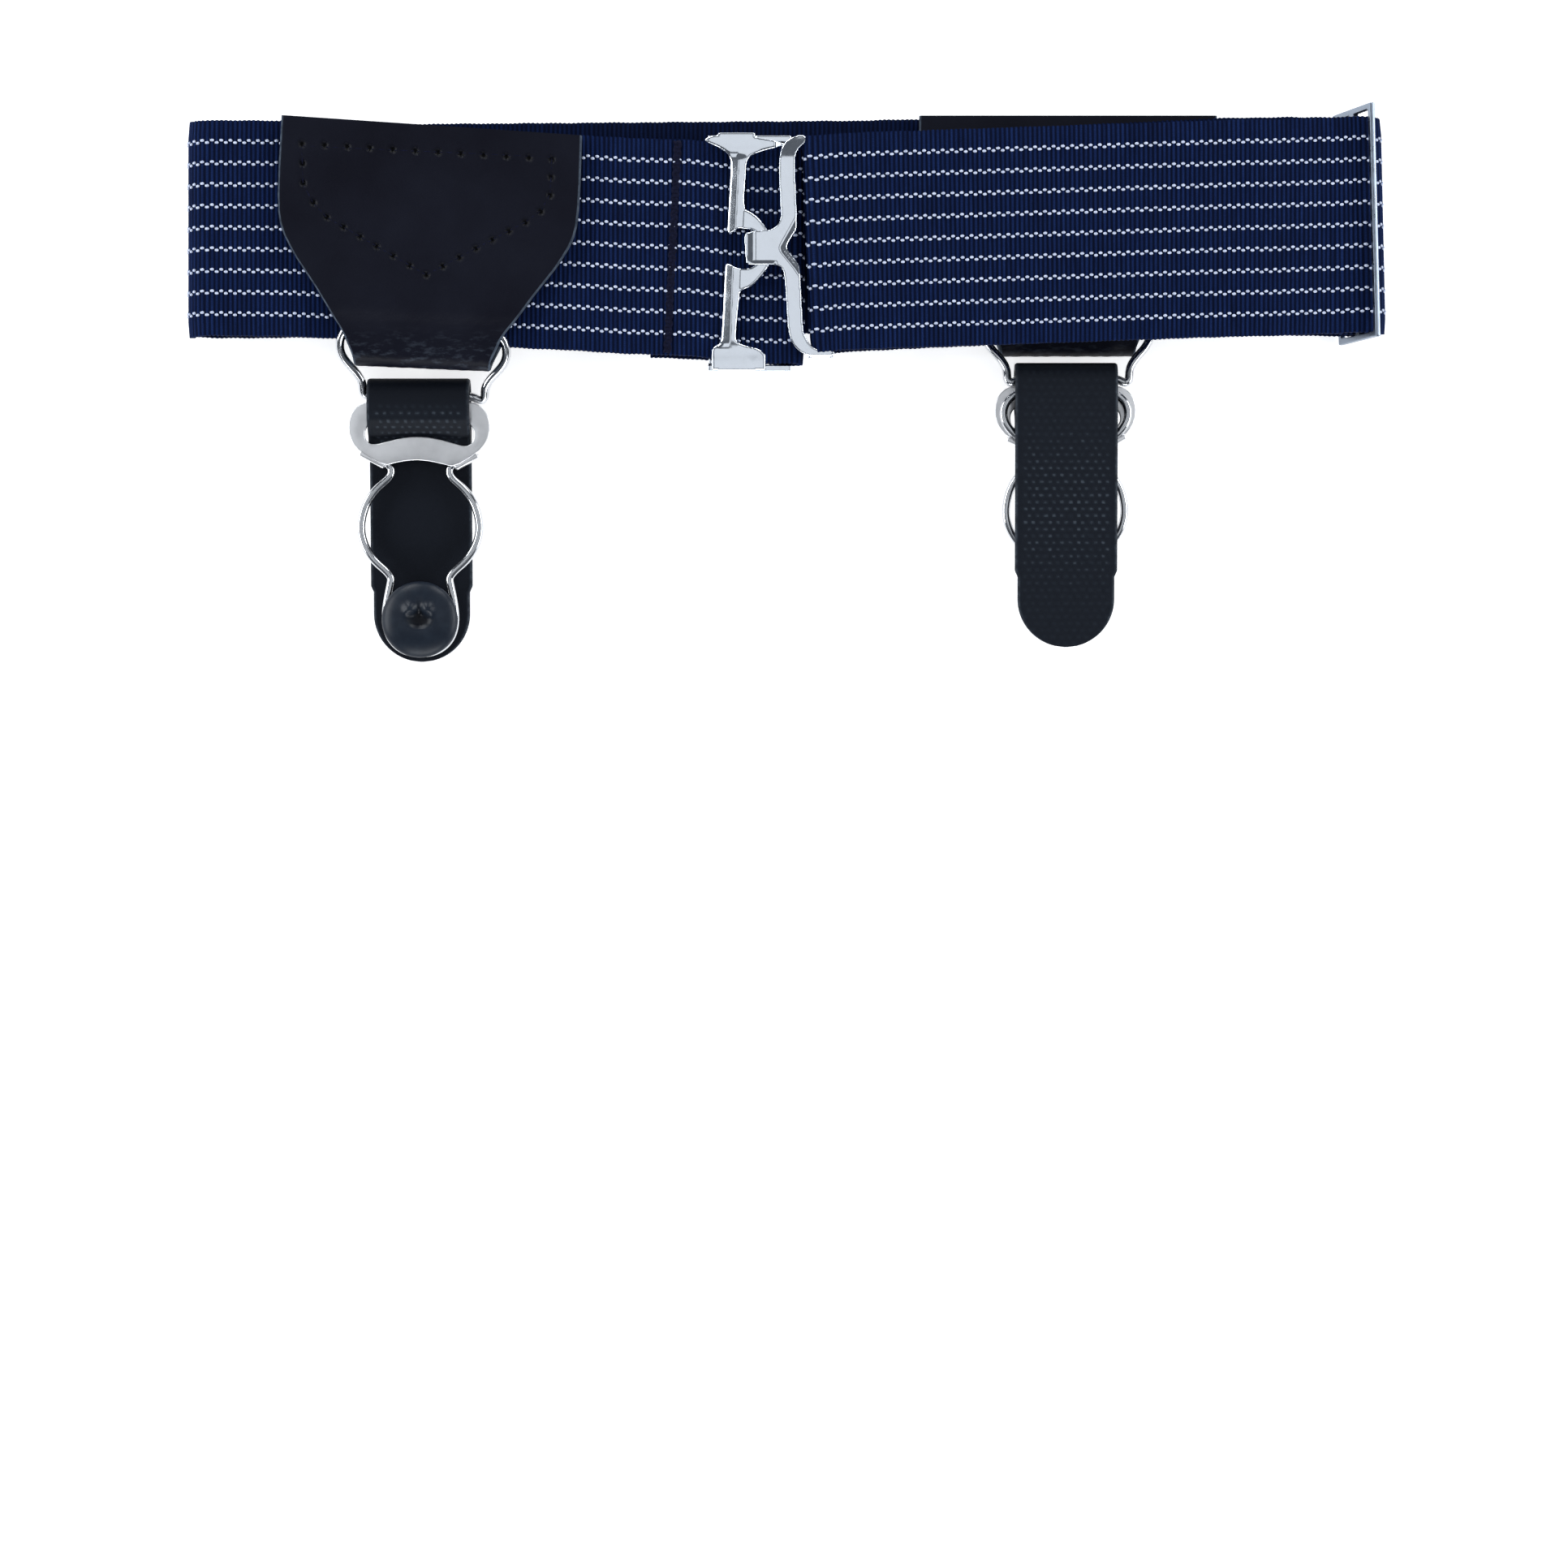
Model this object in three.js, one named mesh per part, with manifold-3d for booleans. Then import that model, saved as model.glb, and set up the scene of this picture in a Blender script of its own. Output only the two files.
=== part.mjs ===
// Sock suspender lying flat: a folded elastic leg loop with two garter clips. Millimetres, +Z up.
// X runs along the elastic, Y across it, and the part rests on Z = 0.

import * as THREE from "three";
import { mergeVertices } from "three/addons/utils/BufferGeometryUtils.js";
import Module from "manifold-3d";

const wasm = await Module();
wasm.setup();

// Stock that the pieces are cut from
const ELASTIC = { width: 35, thick: 1.4 };
const LEATHER_THICK = 1.3;
const STRAP = { width: 16.7, thick: 1.2, endRadius: 7.9, narrowReach: 11.5 };
const RING_WIRE = 1.4;
const GARTER_WIRE = 1.35;
const WIRE_SIDES = 8;
const SHEET = 0.8;
const GAP = 0.3;

// Parts of one stamping end this much short of each other's faces, so no two faces lie in one plane
const STEP_IN = 0.1;

// Sheets are bent a little larger than their plan and then cut to it
const SPARE = 1;
const CUTTER_HALF = 10;

// Fineness of the round pieces: steps along a wire, sides of a button and of a strap's round end,
// radians per step of a bend, and the points kept on a straight
const RING_STEPS = 64;
const GARTER_STEPS = 110;
const BUTTON_SIDES = 24;
const ROUND_END_SIDES = 12;
const BEND_STEP = 0.36;
const STRAIGHT_SHARES = [0.12, 0.5, 0.88];

// Side view of the elastic, from its tail in the slider round to its end behind the clasp.
// x and z place the middle of the strip, round is the corner radius, y is the middle of the width.
const ELASTIC_ROUTE = [
  { x: 70, z: 7.75, round: 0, y: 25.0 },
  { x: 83, z: 6.6, round: 4, y: 25.4 },
  { x: 89, z: 4.07, round: 4, y: 25.4 },
  { x: 95.18, z: 4.07, round: 1.83, y: 25.2 },
  { x: 95.18, z: 7.73, round: 1.83, y: 25.2 },
  { x: 70, z: 9.5, round: 10, y: 24.6 },
  { x: 20, z: 9.5, round: 10, y: 22.2 },
  { x: 12, z: 8.5, round: 10, y: 21.6 },
  { x: 4.2, z: 8.5, round: 1.4, y: 20.8 },
  { x: 4.2, z: 11.3, round: 1.4, y: 20.8 },
  { x: 9.5, z: 11.3, round: 0, y: 21.6 },
  { x: 76, z: 11.3, round: 20, y: 24.1 },
  { x: 88, z: 9.55, round: 12, y: 24.7 },
  { x: 97.1, z: 9.55, round: 3.65, y: 25.0 },
  { x: 97.1, z: 2.25, round: 3.65, y: 25.2 },
  { x: 80, z: 2.3, round: 8, y: 25.4 },
  { x: 19, z: 2.3, round: 8, y: 25.8 },
  { x: 12, z: 0.7, round: 8, y: 25.9 },
  { x: -97.1, z: 0.7, round: 4.05, y: 25.1 },
  { x: -97.1, z: 8.8, round: 4.05, y: 24.5 },
  { x: -80, z: 8.8, round: 0, y: 24.35 },
  { x: -32, z: 8.8, round: 0, y: 21.95 },
  { x: -25, z: 8.8, round: 10, y: 21.5 },
  { x: -15.5, z: 9.1, round: 5, y: 21.2 },
  { x: -11, z: 9.1, round: 2, y: 20.6 },
  { x: -8.4, z: 8.75, round: 2, y: 20.3 },
  { x: -5.5, z: 9.1, round: 2, y: 20.1 },
  { x: 2.4, z: 9.1, round: 1.4, y: 19.9 },
  { x: 2.4, z: 6.3, round: 1.4, y: 19.9 },
  { x: -14, z: 6.3, round: 8, y: 20.9 },
  { x: -22, z: 7.0, round: 0, y: 21.2 },
];

// Leather tabs: a bow-tie piece folded at its waist over the ring's upper bar
const TAB = { barY: -18.7, foldRadius: 1.65 };

// Half width of the folded tab at each y, from its top edge to its waist
const TAB_OUTLINE = [
  { half: 24.4, y: 18.3 },
  { half: 24.5, y: 10 },
  { half: 24.45, y: 6 },
  { half: 24.25, y: 3.2 },
  { half: 23.2, y: -0.4 },
  { half: 21.1, y: -4 },
  { half: 17.75, y: -8.6 },
  { half: 13.4, y: -15 },
  { half: 12.1, y: -17.6 },
  { half: 10.9, y: -20 },
  { half: 10.9, y: -22 },
];
const TABS = {
  front: { x: -58.15, y: 22.55, z: 8.8, turn: -0.044 },
  rear: { x: 46.4, y: 25.3, z: 2.3, turn: 0 },
};

// Rings: trapezoid of wire between the tab and the clip strap
const RING = { topHalf: 13.6, bottomHalf: 9.9, height: 7.2, topRound: 1.8, bottomRound: 1.4, longest: 3 };

// Clips: y is measured from the ring's lower bar, z from the strap's outer face.
// The plate, wire and button sit "lift" further up the strap.
const CLIP = { barZ: 2.65, foldRadius: 2.05, endY: -43.8, tilt: 0.052 };
const CLIPS = {
  front: { x: -59.9, ringX: -58.9, spin: 0, lift: 0.3 },
  rear: { x: 45.9, ringX: 46.3, spin: Math.PI, lift: 0.5 },
};
const FLAP = { bendY: -4.2, bendRound: 1.2, throughY: -7.2, throughRound: 1, endY: -8.6, endZ: 2.15 };
const PLATE = { y: -5.75, z: 3.05, thick: 0.75 };

// Half widths of the plate and of its slot, measured from the plate's own middle
const PLATE_OUTLINE = [
  { half: 8.2, y: 4.4 },
  { half: 10.1, y: 3.4 },
  { half: 11.3, y: 1.6 },
  { half: 11.7, y: -0.4 },
  { half: 11.2, y: -2.6 },
  { half: 9.6, y: -4.9 },
  { half: 5.0, y: -7.1 },
  { half: 2.5, y: -6.15 },
  { half: 0, y: -5.85 },
];
const SLOT_OUTLINE = [
  { half: 8.3, y: 1.7 },
  { half: 8.9, y: 0.9 },
  { half: 9.1, y: -0.6 },
  { half: 8.9, y: -2.4 },
  { half: 7.7, y: -3.2 },
  { half: 4.0, y: -2.25 },
  { half: 0, y: -1.9 },
];

// The plate's edge is turned down along each lower corner, beside the wire
const LIP = { length: 3.6, thick: 0.6, foot: 1.75, x: 7.95, y: -10.06, rise: 2.0, run: 2.6 };
const WIRE_Z = 2.11;
const LOOP_Z = 3.05;
const BUTTON = { y: -37.1, crown: 2.4, top: 6.3 };
const BUTTON_PROFILE = [
  { radius: 0, z: 1.5 },
  { radius: 4.3, z: 1.5 },
  { radius: 4.3, z: 2.1 },
  { radius: 3, z: 2.25 },
  { radius: 3, z: 4 },
  { radius: 6, z: 4 },
  { radius: 6.3, z: 4.6 },
  { radius: 5.8, z: 5.2 },
  { radius: 4.4, z: 5.85 },
  { radius: BUTTON.crown, z: BUTTON.top },
  { radius: 1.6, z: 6.2 },
  { radius: 0, z: 5.4 },
];

// Half of the garter wire's route from its hidden end to the foot of the keyhole loop
const WIRE_ROUTE = [
  { x: 0.2, y: -1.9, z: WIRE_Z },
  { x: 5.6, y: -2.0, z: WIRE_Z },
  { x: 9.2, y: -3.6, z: WIRE_Z },
  { x: 10.3, y: -6.2, z: WIRE_Z },
  { x: 9.2, y: -9.0, z: WIRE_Z },
  { x: 6.6, y: -11.0, z: WIRE_Z },
  { x: 4.7, y: -12.6, z: WIRE_Z },
  { x: 6.3, y: -15.6, z: WIRE_Z + 0.2 },
  { x: 8.5, y: -18.6, z: WIRE_Z + 0.4 },
  { x: 9.15, y: -21.6, z: WIRE_Z + 0.6 },
  { x: 8.3, y: -25.2, z: WIRE_Z + 0.8 },
  { x: 6.1, y: -28.4, z: LOOP_Z },
  { x: 4.75, y: -30.8, z: LOOP_Z },
  { x: 5.3, y: -34.2, z: LOOP_Z },
  { x: 5.65, y: -37.2, z: LOOP_Z },
  { x: 4.6, y: -40.4, z: LOOP_Z },
  { x: 2.4, y: -42.3, z: LOOP_Z },
];
const LOOP_FOOT_Y = -42.8;

// Clasp: the eye holds the left end of the elastic, the hook holds the right end.
// Each half has a front plate, two arms that reach back past the cloth and bars that join them.
const EYE = { z: 10.1, barZ: 7.3, left: -12.6, right: 1.0, armTop: 39.6, armBottom: 1.2, armWidth: 1.1,
  armHigh: 1.3, riserLeft: -10.9, riserRight: -4.9, leftBar: 2, rightBar: 2.4 };
const EYE_OUTLINE = [
  { x: -9.55, y: 39.4 },
  { x: -7.05, y: 39.4 },
  { x: -7.05, y: 27.4 },
  { x: -4.6, y: 26.4 },
  { x: -2.6, y: 24.2 },
  { x: -1.9, y: 21 },
  { x: -2.6, y: 17.8 },
  { x: -4.6, y: 15.6 },
  { x: -7.05, y: 14.6 },
  { x: -7.45, y: 1.4 },
  { x: -9.95, y: 1.4 },
  { x: -9.95, y: 17 },
  { x: -7.7, y: 17 },
  { x: -4.6, y: 18.2 },
  { x: -3.7, y: 21 },
  { x: -4.6, y: 23.8 },
  { x: -7.7, y: 25 },
  { x: -9.55, y: 25 },
];
const HOOK = { z: 11.15, barZ: 9.5, barX: 6.7, barWidth: 2.2, armTop: 39.2, armBottom: 2.9, armWidth: 1.1,
  linkRight: 7.5, tongueLow: 18.3, tongueHigh: 23.5, tongueTip: -6.2, tipDrop: 0.95, tipRise: 0.2 };
const HOOK_OUTLINE = [
  { x: 7.7, y: 40.3 },
  { x: 3.2, y: 40.1 },
  { x: 0.4, y: 38.9 },
  { x: -0.9, y: 37.0 },
  { x: -1.25, y: 34.2 },
  { x: -1.25, y: 26.1 },
  { x: -1.8, y: 24.3 },
  { x: -3, y: 23.5 },
  { x: -6.2, y: 23.5 },
  { x: -6.2, y: 18.3 },
  { x: -3, y: 18.3 },
  { x: -1.2, y: 17.9 },
  { x: -0.47, y: 16.9 },
  { x: 0.05, y: 5.9 },
  { x: 0.6, y: 3.7 },
  { x: 2.6, y: 2.3 },
  { x: 6.7, y: 1.8 },
  { x: 8.3, y: 1.8 },
  { x: 8.3, y: 2.9 },
  { x: 6.1, y: 2.9 },
  { x: 3.9, y: 3.2 },
  { x: 2.8, y: 4.0 },
  { x: 2.55, y: 5.9 },
  { x: 2.03, y: 17.7 },
  { x: 0.05, y: 20.9 },
  { x: 1.77, y: 24.1 },
  { x: 1.25, y: 34.2 },
  { x: 1.6, y: 37.2 },
  { x: 2.8, y: 38.7 },
  { x: 5.2, y: 39.2 },
  { x: 7.7, y: 39.2 },
];

// Slider: three bars in one flat sheet that stands in the right fold
const SLIDER = { x: 93.45, y: 25.1, z: 5.9, lean: 1.204, width: 38.8, slotWidth: 36.2, reach: 5.6,
  bar: 0.9, centreBar: 1.3, thick: 0.9 };

const FINISH = {
  elastic: { color: 0x101a40, roughness: 0.85, metalness: 0 },
  leather: { color: 0x16181f, roughness: 0.6, metalness: 0 },
  webbing: { color: 0x161b24, roughness: 0.8, metalness: 0 },
  steel: { color: 0xc9ccd2, roughness: 0.22, metalness: 1 },
  rubber: { color: 0x1b222d, roughness: 0.5, metalness: 0 },
};

const model = new THREE.Group();

// Corners nearer than this are one corner
const MERGE = 1e-4;

function solidOf(geometry) {
  const bare = geometry.clone();
  bare.deleteAttribute("normal");
  bare.deleteAttribute("uv");
  const merged = mergeVertices(bare.index ? bare.toNonIndexed() : bare, MERGE);
  const mesh = new wasm.Mesh({
    numProp: 3,
    vertProperties: new Float32Array(merged.attributes.position.array),
    triVerts: new Uint32Array(merged.index.array),
  });
  return new wasm.Manifold(mesh);
}

function geometryOf(solid) {
  const mesh = solid.getMesh();
  const geometry = new THREE.BufferGeometry();
  geometry.setAttribute("position", new THREE.BufferAttribute(new Float32Array(mesh.vertProperties), 3));
  geometry.setIndex(new THREE.BufferAttribute(new Uint32Array(mesh.triVerts), 1));
  geometry.computeVertexNormals();
  return geometry;
}

function joined(geometries) {
  return geometryOf(geometries.map(solidOf).reduce((whole, piece) => whole.add(piece)));
}

function addPiece(name, geometry, finish, group = model) {
  const mesh = new THREE.Mesh(geometry, new THREE.MeshStandardMaterial(FINISH[finish]));
  mesh.name = name;
  group.add(mesh);
  return mesh;
}

function box(x0, x1, y0, y1, z0, z1) {
  const geometry = new THREE.BoxGeometry(x1 - x0, y1 - y0, z1 - z0);
  geometry.translate((x0 + x1) / 2, (y0 + y1) / 2, (z0 + z1) / 2);
  return geometry;
}

// Rounds each corner of a polyline with an arc, and carries a third value along it
function roundedRoute(rows, across, up, carried) {
  const points = [];
  rows.forEach((row, index) => {
    const here = new THREE.Vector2(row[across], row[up]);
    if (!row.round || index === 0 || index === rows.length - 1) {
      points.push({ at: here, carried: row[carried] ?? 0 });
      return;
    }
    const before = new THREE.Vector2(rows[index - 1][across], rows[index - 1][up]).sub(here).normalize();
    const after = new THREE.Vector2(rows[index + 1][across], rows[index + 1][up]).sub(here).normalize();
    const half = Math.acos(THREE.MathUtils.clamp(before.dot(after), -1, 1)) / 2;
    const reach = row.round / Math.tan(half);
    const bisector = before.clone().add(after).normalize();
    const centre = here.clone().addScaledVector(bisector, row.round / Math.sin(half));
    const start = here.clone().addScaledVector(before, reach).sub(centre).angle();
    let sweep = here.clone().addScaledVector(after, reach).sub(centre).angle() - start;
    if (sweep > Math.PI) sweep -= 2 * Math.PI;
    if (sweep < -Math.PI) sweep += 2 * Math.PI;
    const steps = Math.max(1, Math.ceil(Math.abs(sweep) / BEND_STEP));
    for (let step = 0; step <= steps; step++) {
      const angle = start + (sweep * step) / steps;
      const at = new THREE.Vector2(Math.cos(angle), Math.sin(angle)).multiplyScalar(row.round).add(centre);
      points.push({ at, carried: row[carried] ?? 0 });
    }
  });
  return points;
}

// Side outline of a bent sheet, with the value carried at each corner kept beside it
function sheetOutline(points, thick) {
  const left = [];
  const right = [];
  points.forEach((point, index) => {
    const previous = points[Math.max(index - 1, 0)].at;
    const next = points[Math.min(index + 1, points.length - 1)].at;
    const along = next.clone().sub(previous).normalize();
    const normal = new THREE.Vector2(-along.y, along.x).multiplyScalar(thick / 2);
    left.push({ at: point.at.clone().add(normal), carried: point.carried });
    right.push({ at: point.at.clone().sub(normal), carried: point.carried });
  });
  return left.concat(right.reverse());
}

// Extrudes a side outline across the width; across becomes X or Y, up becomes Z
function extrudeSheet(outline, width, plane) {
  const shape = new THREE.Shape(outline.map((corner) => corner.at));
  const geometry = new THREE.ExtrudeGeometry(shape, { depth: width, bevelEnabled: false });
  geometry.translate(0, 0, -width / 2);
  if (plane === "xz") geometry.rotateX(Math.PI / 2);
  else geometry.applyMatrix4(new THREE.Matrix4().set(0, 0, 1, 0, 1, 0, 0, 0, 0, 1, 0, 0, 0, 0, 0, 1));
  return geometry;
}

function elasticBand() {
  const outline = sheetOutline(roundedRoute(ELASTIC_ROUTE, "x", "z", "y"), ELASTIC.thick);
  const geometry = extrudeSheet(outline, ELASTIC.width, "xz");
  const key = (x, z) => `${x.toFixed(3)} ${z.toFixed(3)}`;
  const shift = new Map(outline.map((corner) => [key(corner.at.x, corner.at.y), corner.carried]));
  const place = geometry.attributes.position;
  for (let i = 0; i < place.count; i++) {
    place.setY(i, place.getY(i) + shift.get(key(place.getX(i), place.getZ(i))));
  }
  return geometryOf(solidOf(geometry));
}

function wireAlong(points, diameter, steps) {
  const section = new THREE.Shape();
  for (let side = 0; side < WIRE_SIDES; side++) {
    const angle = ((side + 0.5) / WIRE_SIDES) * 2 * Math.PI;
    const x = (Math.cos(angle) * diameter) / 2;
    const y = (Math.sin(angle) * diameter) / 2;
    if (side === 0) section.moveTo(x, y);
    else section.lineTo(x, y);
  }
  section.closePath();
  const path = new THREE.CatmullRomCurve3(points, false, "centripetal");
  const wire = new THREE.ExtrudeGeometry(section, { steps, extrudePath: path, bevelEnabled: false });
  return geometryOf(solidOf(wire));
}

// A closed plan from rows that give its half width at each y, from the top down
function mirroredPlan(rows) {
  const right = rows.map((row) => new THREE.Vector2(row.half, row.y));
  const left = rows.filter((row) => row.half > 0).map((row) => new THREE.Vector2(-row.half, row.y)).reverse();
  return new THREE.Shape([...right, ...left]);
}

// A block with the plan's outline that is taller than any sheet it cuts
function cutterOf(plan) {
  const settings = { depth: 2 * CUTTER_HALF, bevelEnabled: false, curveSegments: ROUND_END_SIDES };
  const cutter = new THREE.ExtrudeGeometry(plan, settings);
  cutter.translate(0, 0, -CUTTER_HALF);
  return solidOf(cutter);
}

function leatherTab() {
  const { barY, foldRadius } = TAB;
  const top = TAB_OUTLINE[0].y + SPARE;
  const side = [
    { y: top, z: foldRadius, round: 0 },
    { y: barY - foldRadius, z: foldRadius, round: foldRadius },
    { y: barY - foldRadius, z: -foldRadius, round: foldRadius },
    { y: top, z: -foldRadius, round: 0 },
  ];
  const outline = sheetOutline(roundedRoute(side, "y", "z", "none"), LEATHER_THICK);
  const sheet = extrudeSheet(outline, 2 * (TAB_OUTLINE[1].half + SPARE), "yz");
  return geometryOf(solidOf(sheet).intersect(cutterOf(mirroredPlan(TAB_OUTLINE))));
}

function ringWire() {
  const { topHalf, bottomHalf, height, topRound, bottomRound, longest } = RING;
  const end = GAP / 2;
  const rows = [
    { x: end, y: 0 },
    { x: topHalf, y: 0, round: topRound },
    { x: bottomHalf, y: -height, round: bottomRound },
    { x: -bottomHalf, y: -height, round: bottomRound },
    { x: -topHalf, y: 0, round: topRound },
    { x: -end, y: 0 },
  ];
  const route = roundedRoute(rows, "x", "y", "none").map(({ at }) => new THREE.Vector3(at.x, at.y, 0));
  const dense = [];
  route.forEach((point, index) => {
    if (index > 0 && point.distanceTo(route[index - 1]) > longest) {
      for (const share of STRAIGHT_SHARES) dense.push(route[index - 1].clone().lerp(point, share));
    }
    dense.push(point);
  });
  return wireAlong(dense, RING_WIRE, RING_STEPS);
}

function clipStrap(lift) {
  const { barZ, foldRadius, endY } = CLIP;
  const low = barZ - foldRadius;
  const high = barZ + foldRadius;
  const side = [
    { y: endY - SPARE, z: low, round: 0 },
    { y: foldRadius, z: low, round: foldRadius },
    { y: foldRadius, z: high, round: foldRadius },
    { y: FLAP.bendY + lift, z: high, round: FLAP.bendRound },
    { y: FLAP.throughY + lift, z: FLAP.endZ, round: FLAP.throughRound },
    { y: FLAP.endY + lift, z: FLAP.endZ, round: 0 },
  ];
  const outline = sheetOutline(roundedRoute(side, "y", "z", "none"), STRAP.thick);
  const sheet = extrudeSheet(outline, STRAP.width, "yz");
  const half = STRAP.width / 2;
  const fold = foldRadius + STRAP.thick + SPARE;
  const plan = new THREE.Shape();
  plan.moveTo(half, fold);
  plan.lineTo(-half, fold);
  plan.lineTo(-half, endY + STRAP.narrowReach);
  plan.absarc(0, endY + STRAP.endRadius, STRAP.endRadius, Math.PI, 2 * Math.PI, false);
  plan.lineTo(half, endY + STRAP.narrowReach);
  plan.closePath();
  return geometryOf(solidOf(sheet).intersect(cutterOf(plan)));
}

// Bean-shaped plate with an arched slot, and a folded lip at each lower corner round the wire
function hookPlate() {
  const plan = mirroredPlan(PLATE_OUTLINE);
  plan.holes.push(new THREE.Path(mirroredPlan(SLOT_OUTLINE).getPoints().reverse()));
  const plate = new THREE.ExtrudeGeometry(plan, { depth: PLATE.thick, bevelEnabled: false });
  plate.translate(0, PLATE.y, PLATE.z);
  return joined([plate, plateLip(-1), plateLip(1)]);
}

function plateLip(side) {
  const near = GARTER_WIRE / 2 + GAP;
  const lip = box(-LIP.length / 2, LIP.length / 2, -near - LIP.thick, -near, LIP.foot, PLATE.z + PLATE.thick);
  lip.rotateZ(side * Math.atan2(LIP.rise, LIP.run));
  lip.translate(side * LIP.x, LIP.y, 0);
  return lip;
}

function garterWire() {
  const right = WIRE_ROUTE.map((row) => new THREE.Vector3(row.x, row.y, row.z));
  const left = right.map((point) => new THREE.Vector3(-point.x, point.y, point.z)).reverse();
  const foot = new THREE.Vector3(0, LOOP_FOOT_Y, LOOP_Z);
  return wireAlong([...right, foot, ...left], GARTER_WIRE, GARTER_STEPS);
}

function rubberButton() {
  const profile = BUTTON_PROFILE.map((row) => new THREE.Vector2(row.radius, row.z));
  const geometry = new THREE.LatheGeometry(profile, BUTTON_SIDES);
  geometry.rotateX(Math.PI / 2);
  geometry.translate(0, BUTTON.y, 0);
  return geometryOf(solidOf(geometry));
}

// The front plate of a clasp half
function stamped(rows, z) {
  const plan = new THREE.Shape(rows.map((row) => new THREE.Vector2(row.x, row.y)));
  const geometry = new THREE.ExtrudeGeometry(plan, { depth: SHEET, bevelEnabled: false });
  geometry.translate(0, 0, z);
  return geometry;
}

function claspEye() {
  const { z, barZ, left, right, armTop, armBottom, armWidth, armHigh, leftBar, rightBar } = EYE;
  const top = z + SHEET - STEP_IN;
  const sides = [[armTop - armWidth, armTop], [armBottom, armBottom + armWidth]];
  const arms = sides.map(([low, high]) => box(left, right, low, high, barZ, barZ + armHigh));
  const risers = sides.map(([low, high]) => box(EYE.riserLeft, EYE.riserRight, low, high, barZ, top));
  const spans = [[left + STEP_IN, left + leftBar], [right - rightBar, right - STEP_IN]];
  const bars = spans.map(([from, to]) =>
    box(from, to, armBottom + STEP_IN, armTop - STEP_IN, barZ + STEP_IN / 2, barZ + SHEET));
  return joined([...arms, ...risers, ...bars, stamped(EYE_OUTLINE, z)]);
}

function claspHook() {
  const { z, barZ, barX, barWidth, armTop, armBottom, armWidth, tongueLow, tongueHigh, tongueTip } = HOOK;
  const barLeft = barX - barWidth / 2;
  const sides = [[armTop, armTop + armWidth], [armBottom - armWidth, armBottom]];
  const links = sides.map(([from, to]) =>
    box(barLeft + STEP_IN, HOOK.linkRight, from + STEP_IN, to - STEP_IN, barZ + STEP_IN, z + SHEET / 2));
  const bar = box(barLeft, barX + barWidth / 2, armBottom - armWidth + 2 * STEP_IN,
    armTop + armWidth - 2 * STEP_IN, barZ, barZ + SHEET);
  const tip = box(tongueTip + STEP_IN, tongueTip + SHEET, tongueLow + STEP_IN, tongueHigh - STEP_IN,
    z - HOOK.tipDrop, z + HOOK.tipRise);
  return joined([stamped(HOOK_OUTLINE, z), ...links, bar, tip]);
}

function slider() {
  const { width, slotWidth, reach, bar, centreBar, thick } = SLIDER;
  const halfUp = reach + bar / 2;
  const low = -thick / 2;
  const high = thick / 2;
  const bars = [[-reach, bar], [0, centreBar], [reach, bar]].map(([middle, size]) =>
    box(middle - size / 2, middle + size / 2, -width / 2, width / 2, low, high));
  const arms = [[-width / 2, -slotWidth / 2], [slotWidth / 2, width / 2]].map(([from, to]) =>
    box(-halfUp, halfUp, from, to, low, high));
  const geometry = joined([...bars, ...arms]);
  geometry.rotateY(-SLIDER.lean);
  geometry.translate(SLIDER.x, SLIDER.y, SLIDER.z);
  return geometry;
}

addPiece("elastic_band", elasticBand(), "elastic");
addPiece("clasp_eye", claspEye(), "steel");
addPiece("clasp_hook", claspHook(), "steel");
addPiece("slider", slider(), "steel");

function lowerBarHeight(clip) {
  const flipped = clip.spin !== 0;
  const reach = flipped ? BUTTON.crown - BUTTON.y - clip.lift : -CLIP.endY;
  const depth = flipped ? BUTTON.top - CLIP.barZ : CLIP.barZ;
  return depth * Math.cos(CLIP.tilt) + reach * Math.sin(CLIP.tilt);
}

for (const side of ["front", "rear"]) {
  const seat = TABS[side];
  const clip = CLIPS[side];
  const tab = addPiece(`${side}_tab`, leatherTab(), "leather");
  tab.position.set(seat.x, seat.y, seat.z);
  tab.rotation.z = seat.turn;

  // The clip rests on the table at its far end and is lifted at its near end by the ring
  const barZ = lowerBarHeight(clip);
  const ringTop = new THREE.Vector3(0, TAB.barY, 0).applyEuler(tab.rotation).add(tab.position);
  const drop = barZ - ringTop.z;
  const run = Math.sqrt(RING.height ** 2 - drop ** 2);

  const seatTurn = new THREE.Group();
  seatTurn.position.copy(ringTop).setX(clip.ringX);
  seatTurn.rotation.z = seat.turn;
  model.add(seatTurn);
  const ring = addPiece(`${side}_ring`, ringWire(), "steel", seatTurn);
  ring.rotation.x = Math.atan2(-drop, run);

  const hanger = new THREE.Group();
  hanger.position.set(clip.x, ringTop.y - run, barZ);
  hanger.rotation.x = CLIP.tilt;
  const turned = new THREE.Group();
  turned.rotation.y = clip.spin;
  const body = new THREE.Group();
  body.position.z = -CLIP.barZ;
  model.add(hanger);
  hanger.add(turned);
  turned.add(body);
  addPiece(`${side}_strap`, clipStrap(clip.lift), "webbing", body);
  const fittings = [
    addPiece(`${side}_plate`, hookPlate(), "steel", body),
    addPiece(`${side}_wire`, garterWire(), "steel", body),
    addPiece(`${side}_button`, rubberButton(), "rubber", body),
  ];
  for (const fitting of fittings) fitting.position.y = clip.lift;
}

// The part rests on Z = 0 with the middle of its outline at the origin
const outline = new THREE.Box3().setFromObject(model, true);
const middle = outline.getCenter(new THREE.Vector3());
model.position.set(-middle.x, -middle.y, -outline.min.z);

export default model;
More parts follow.
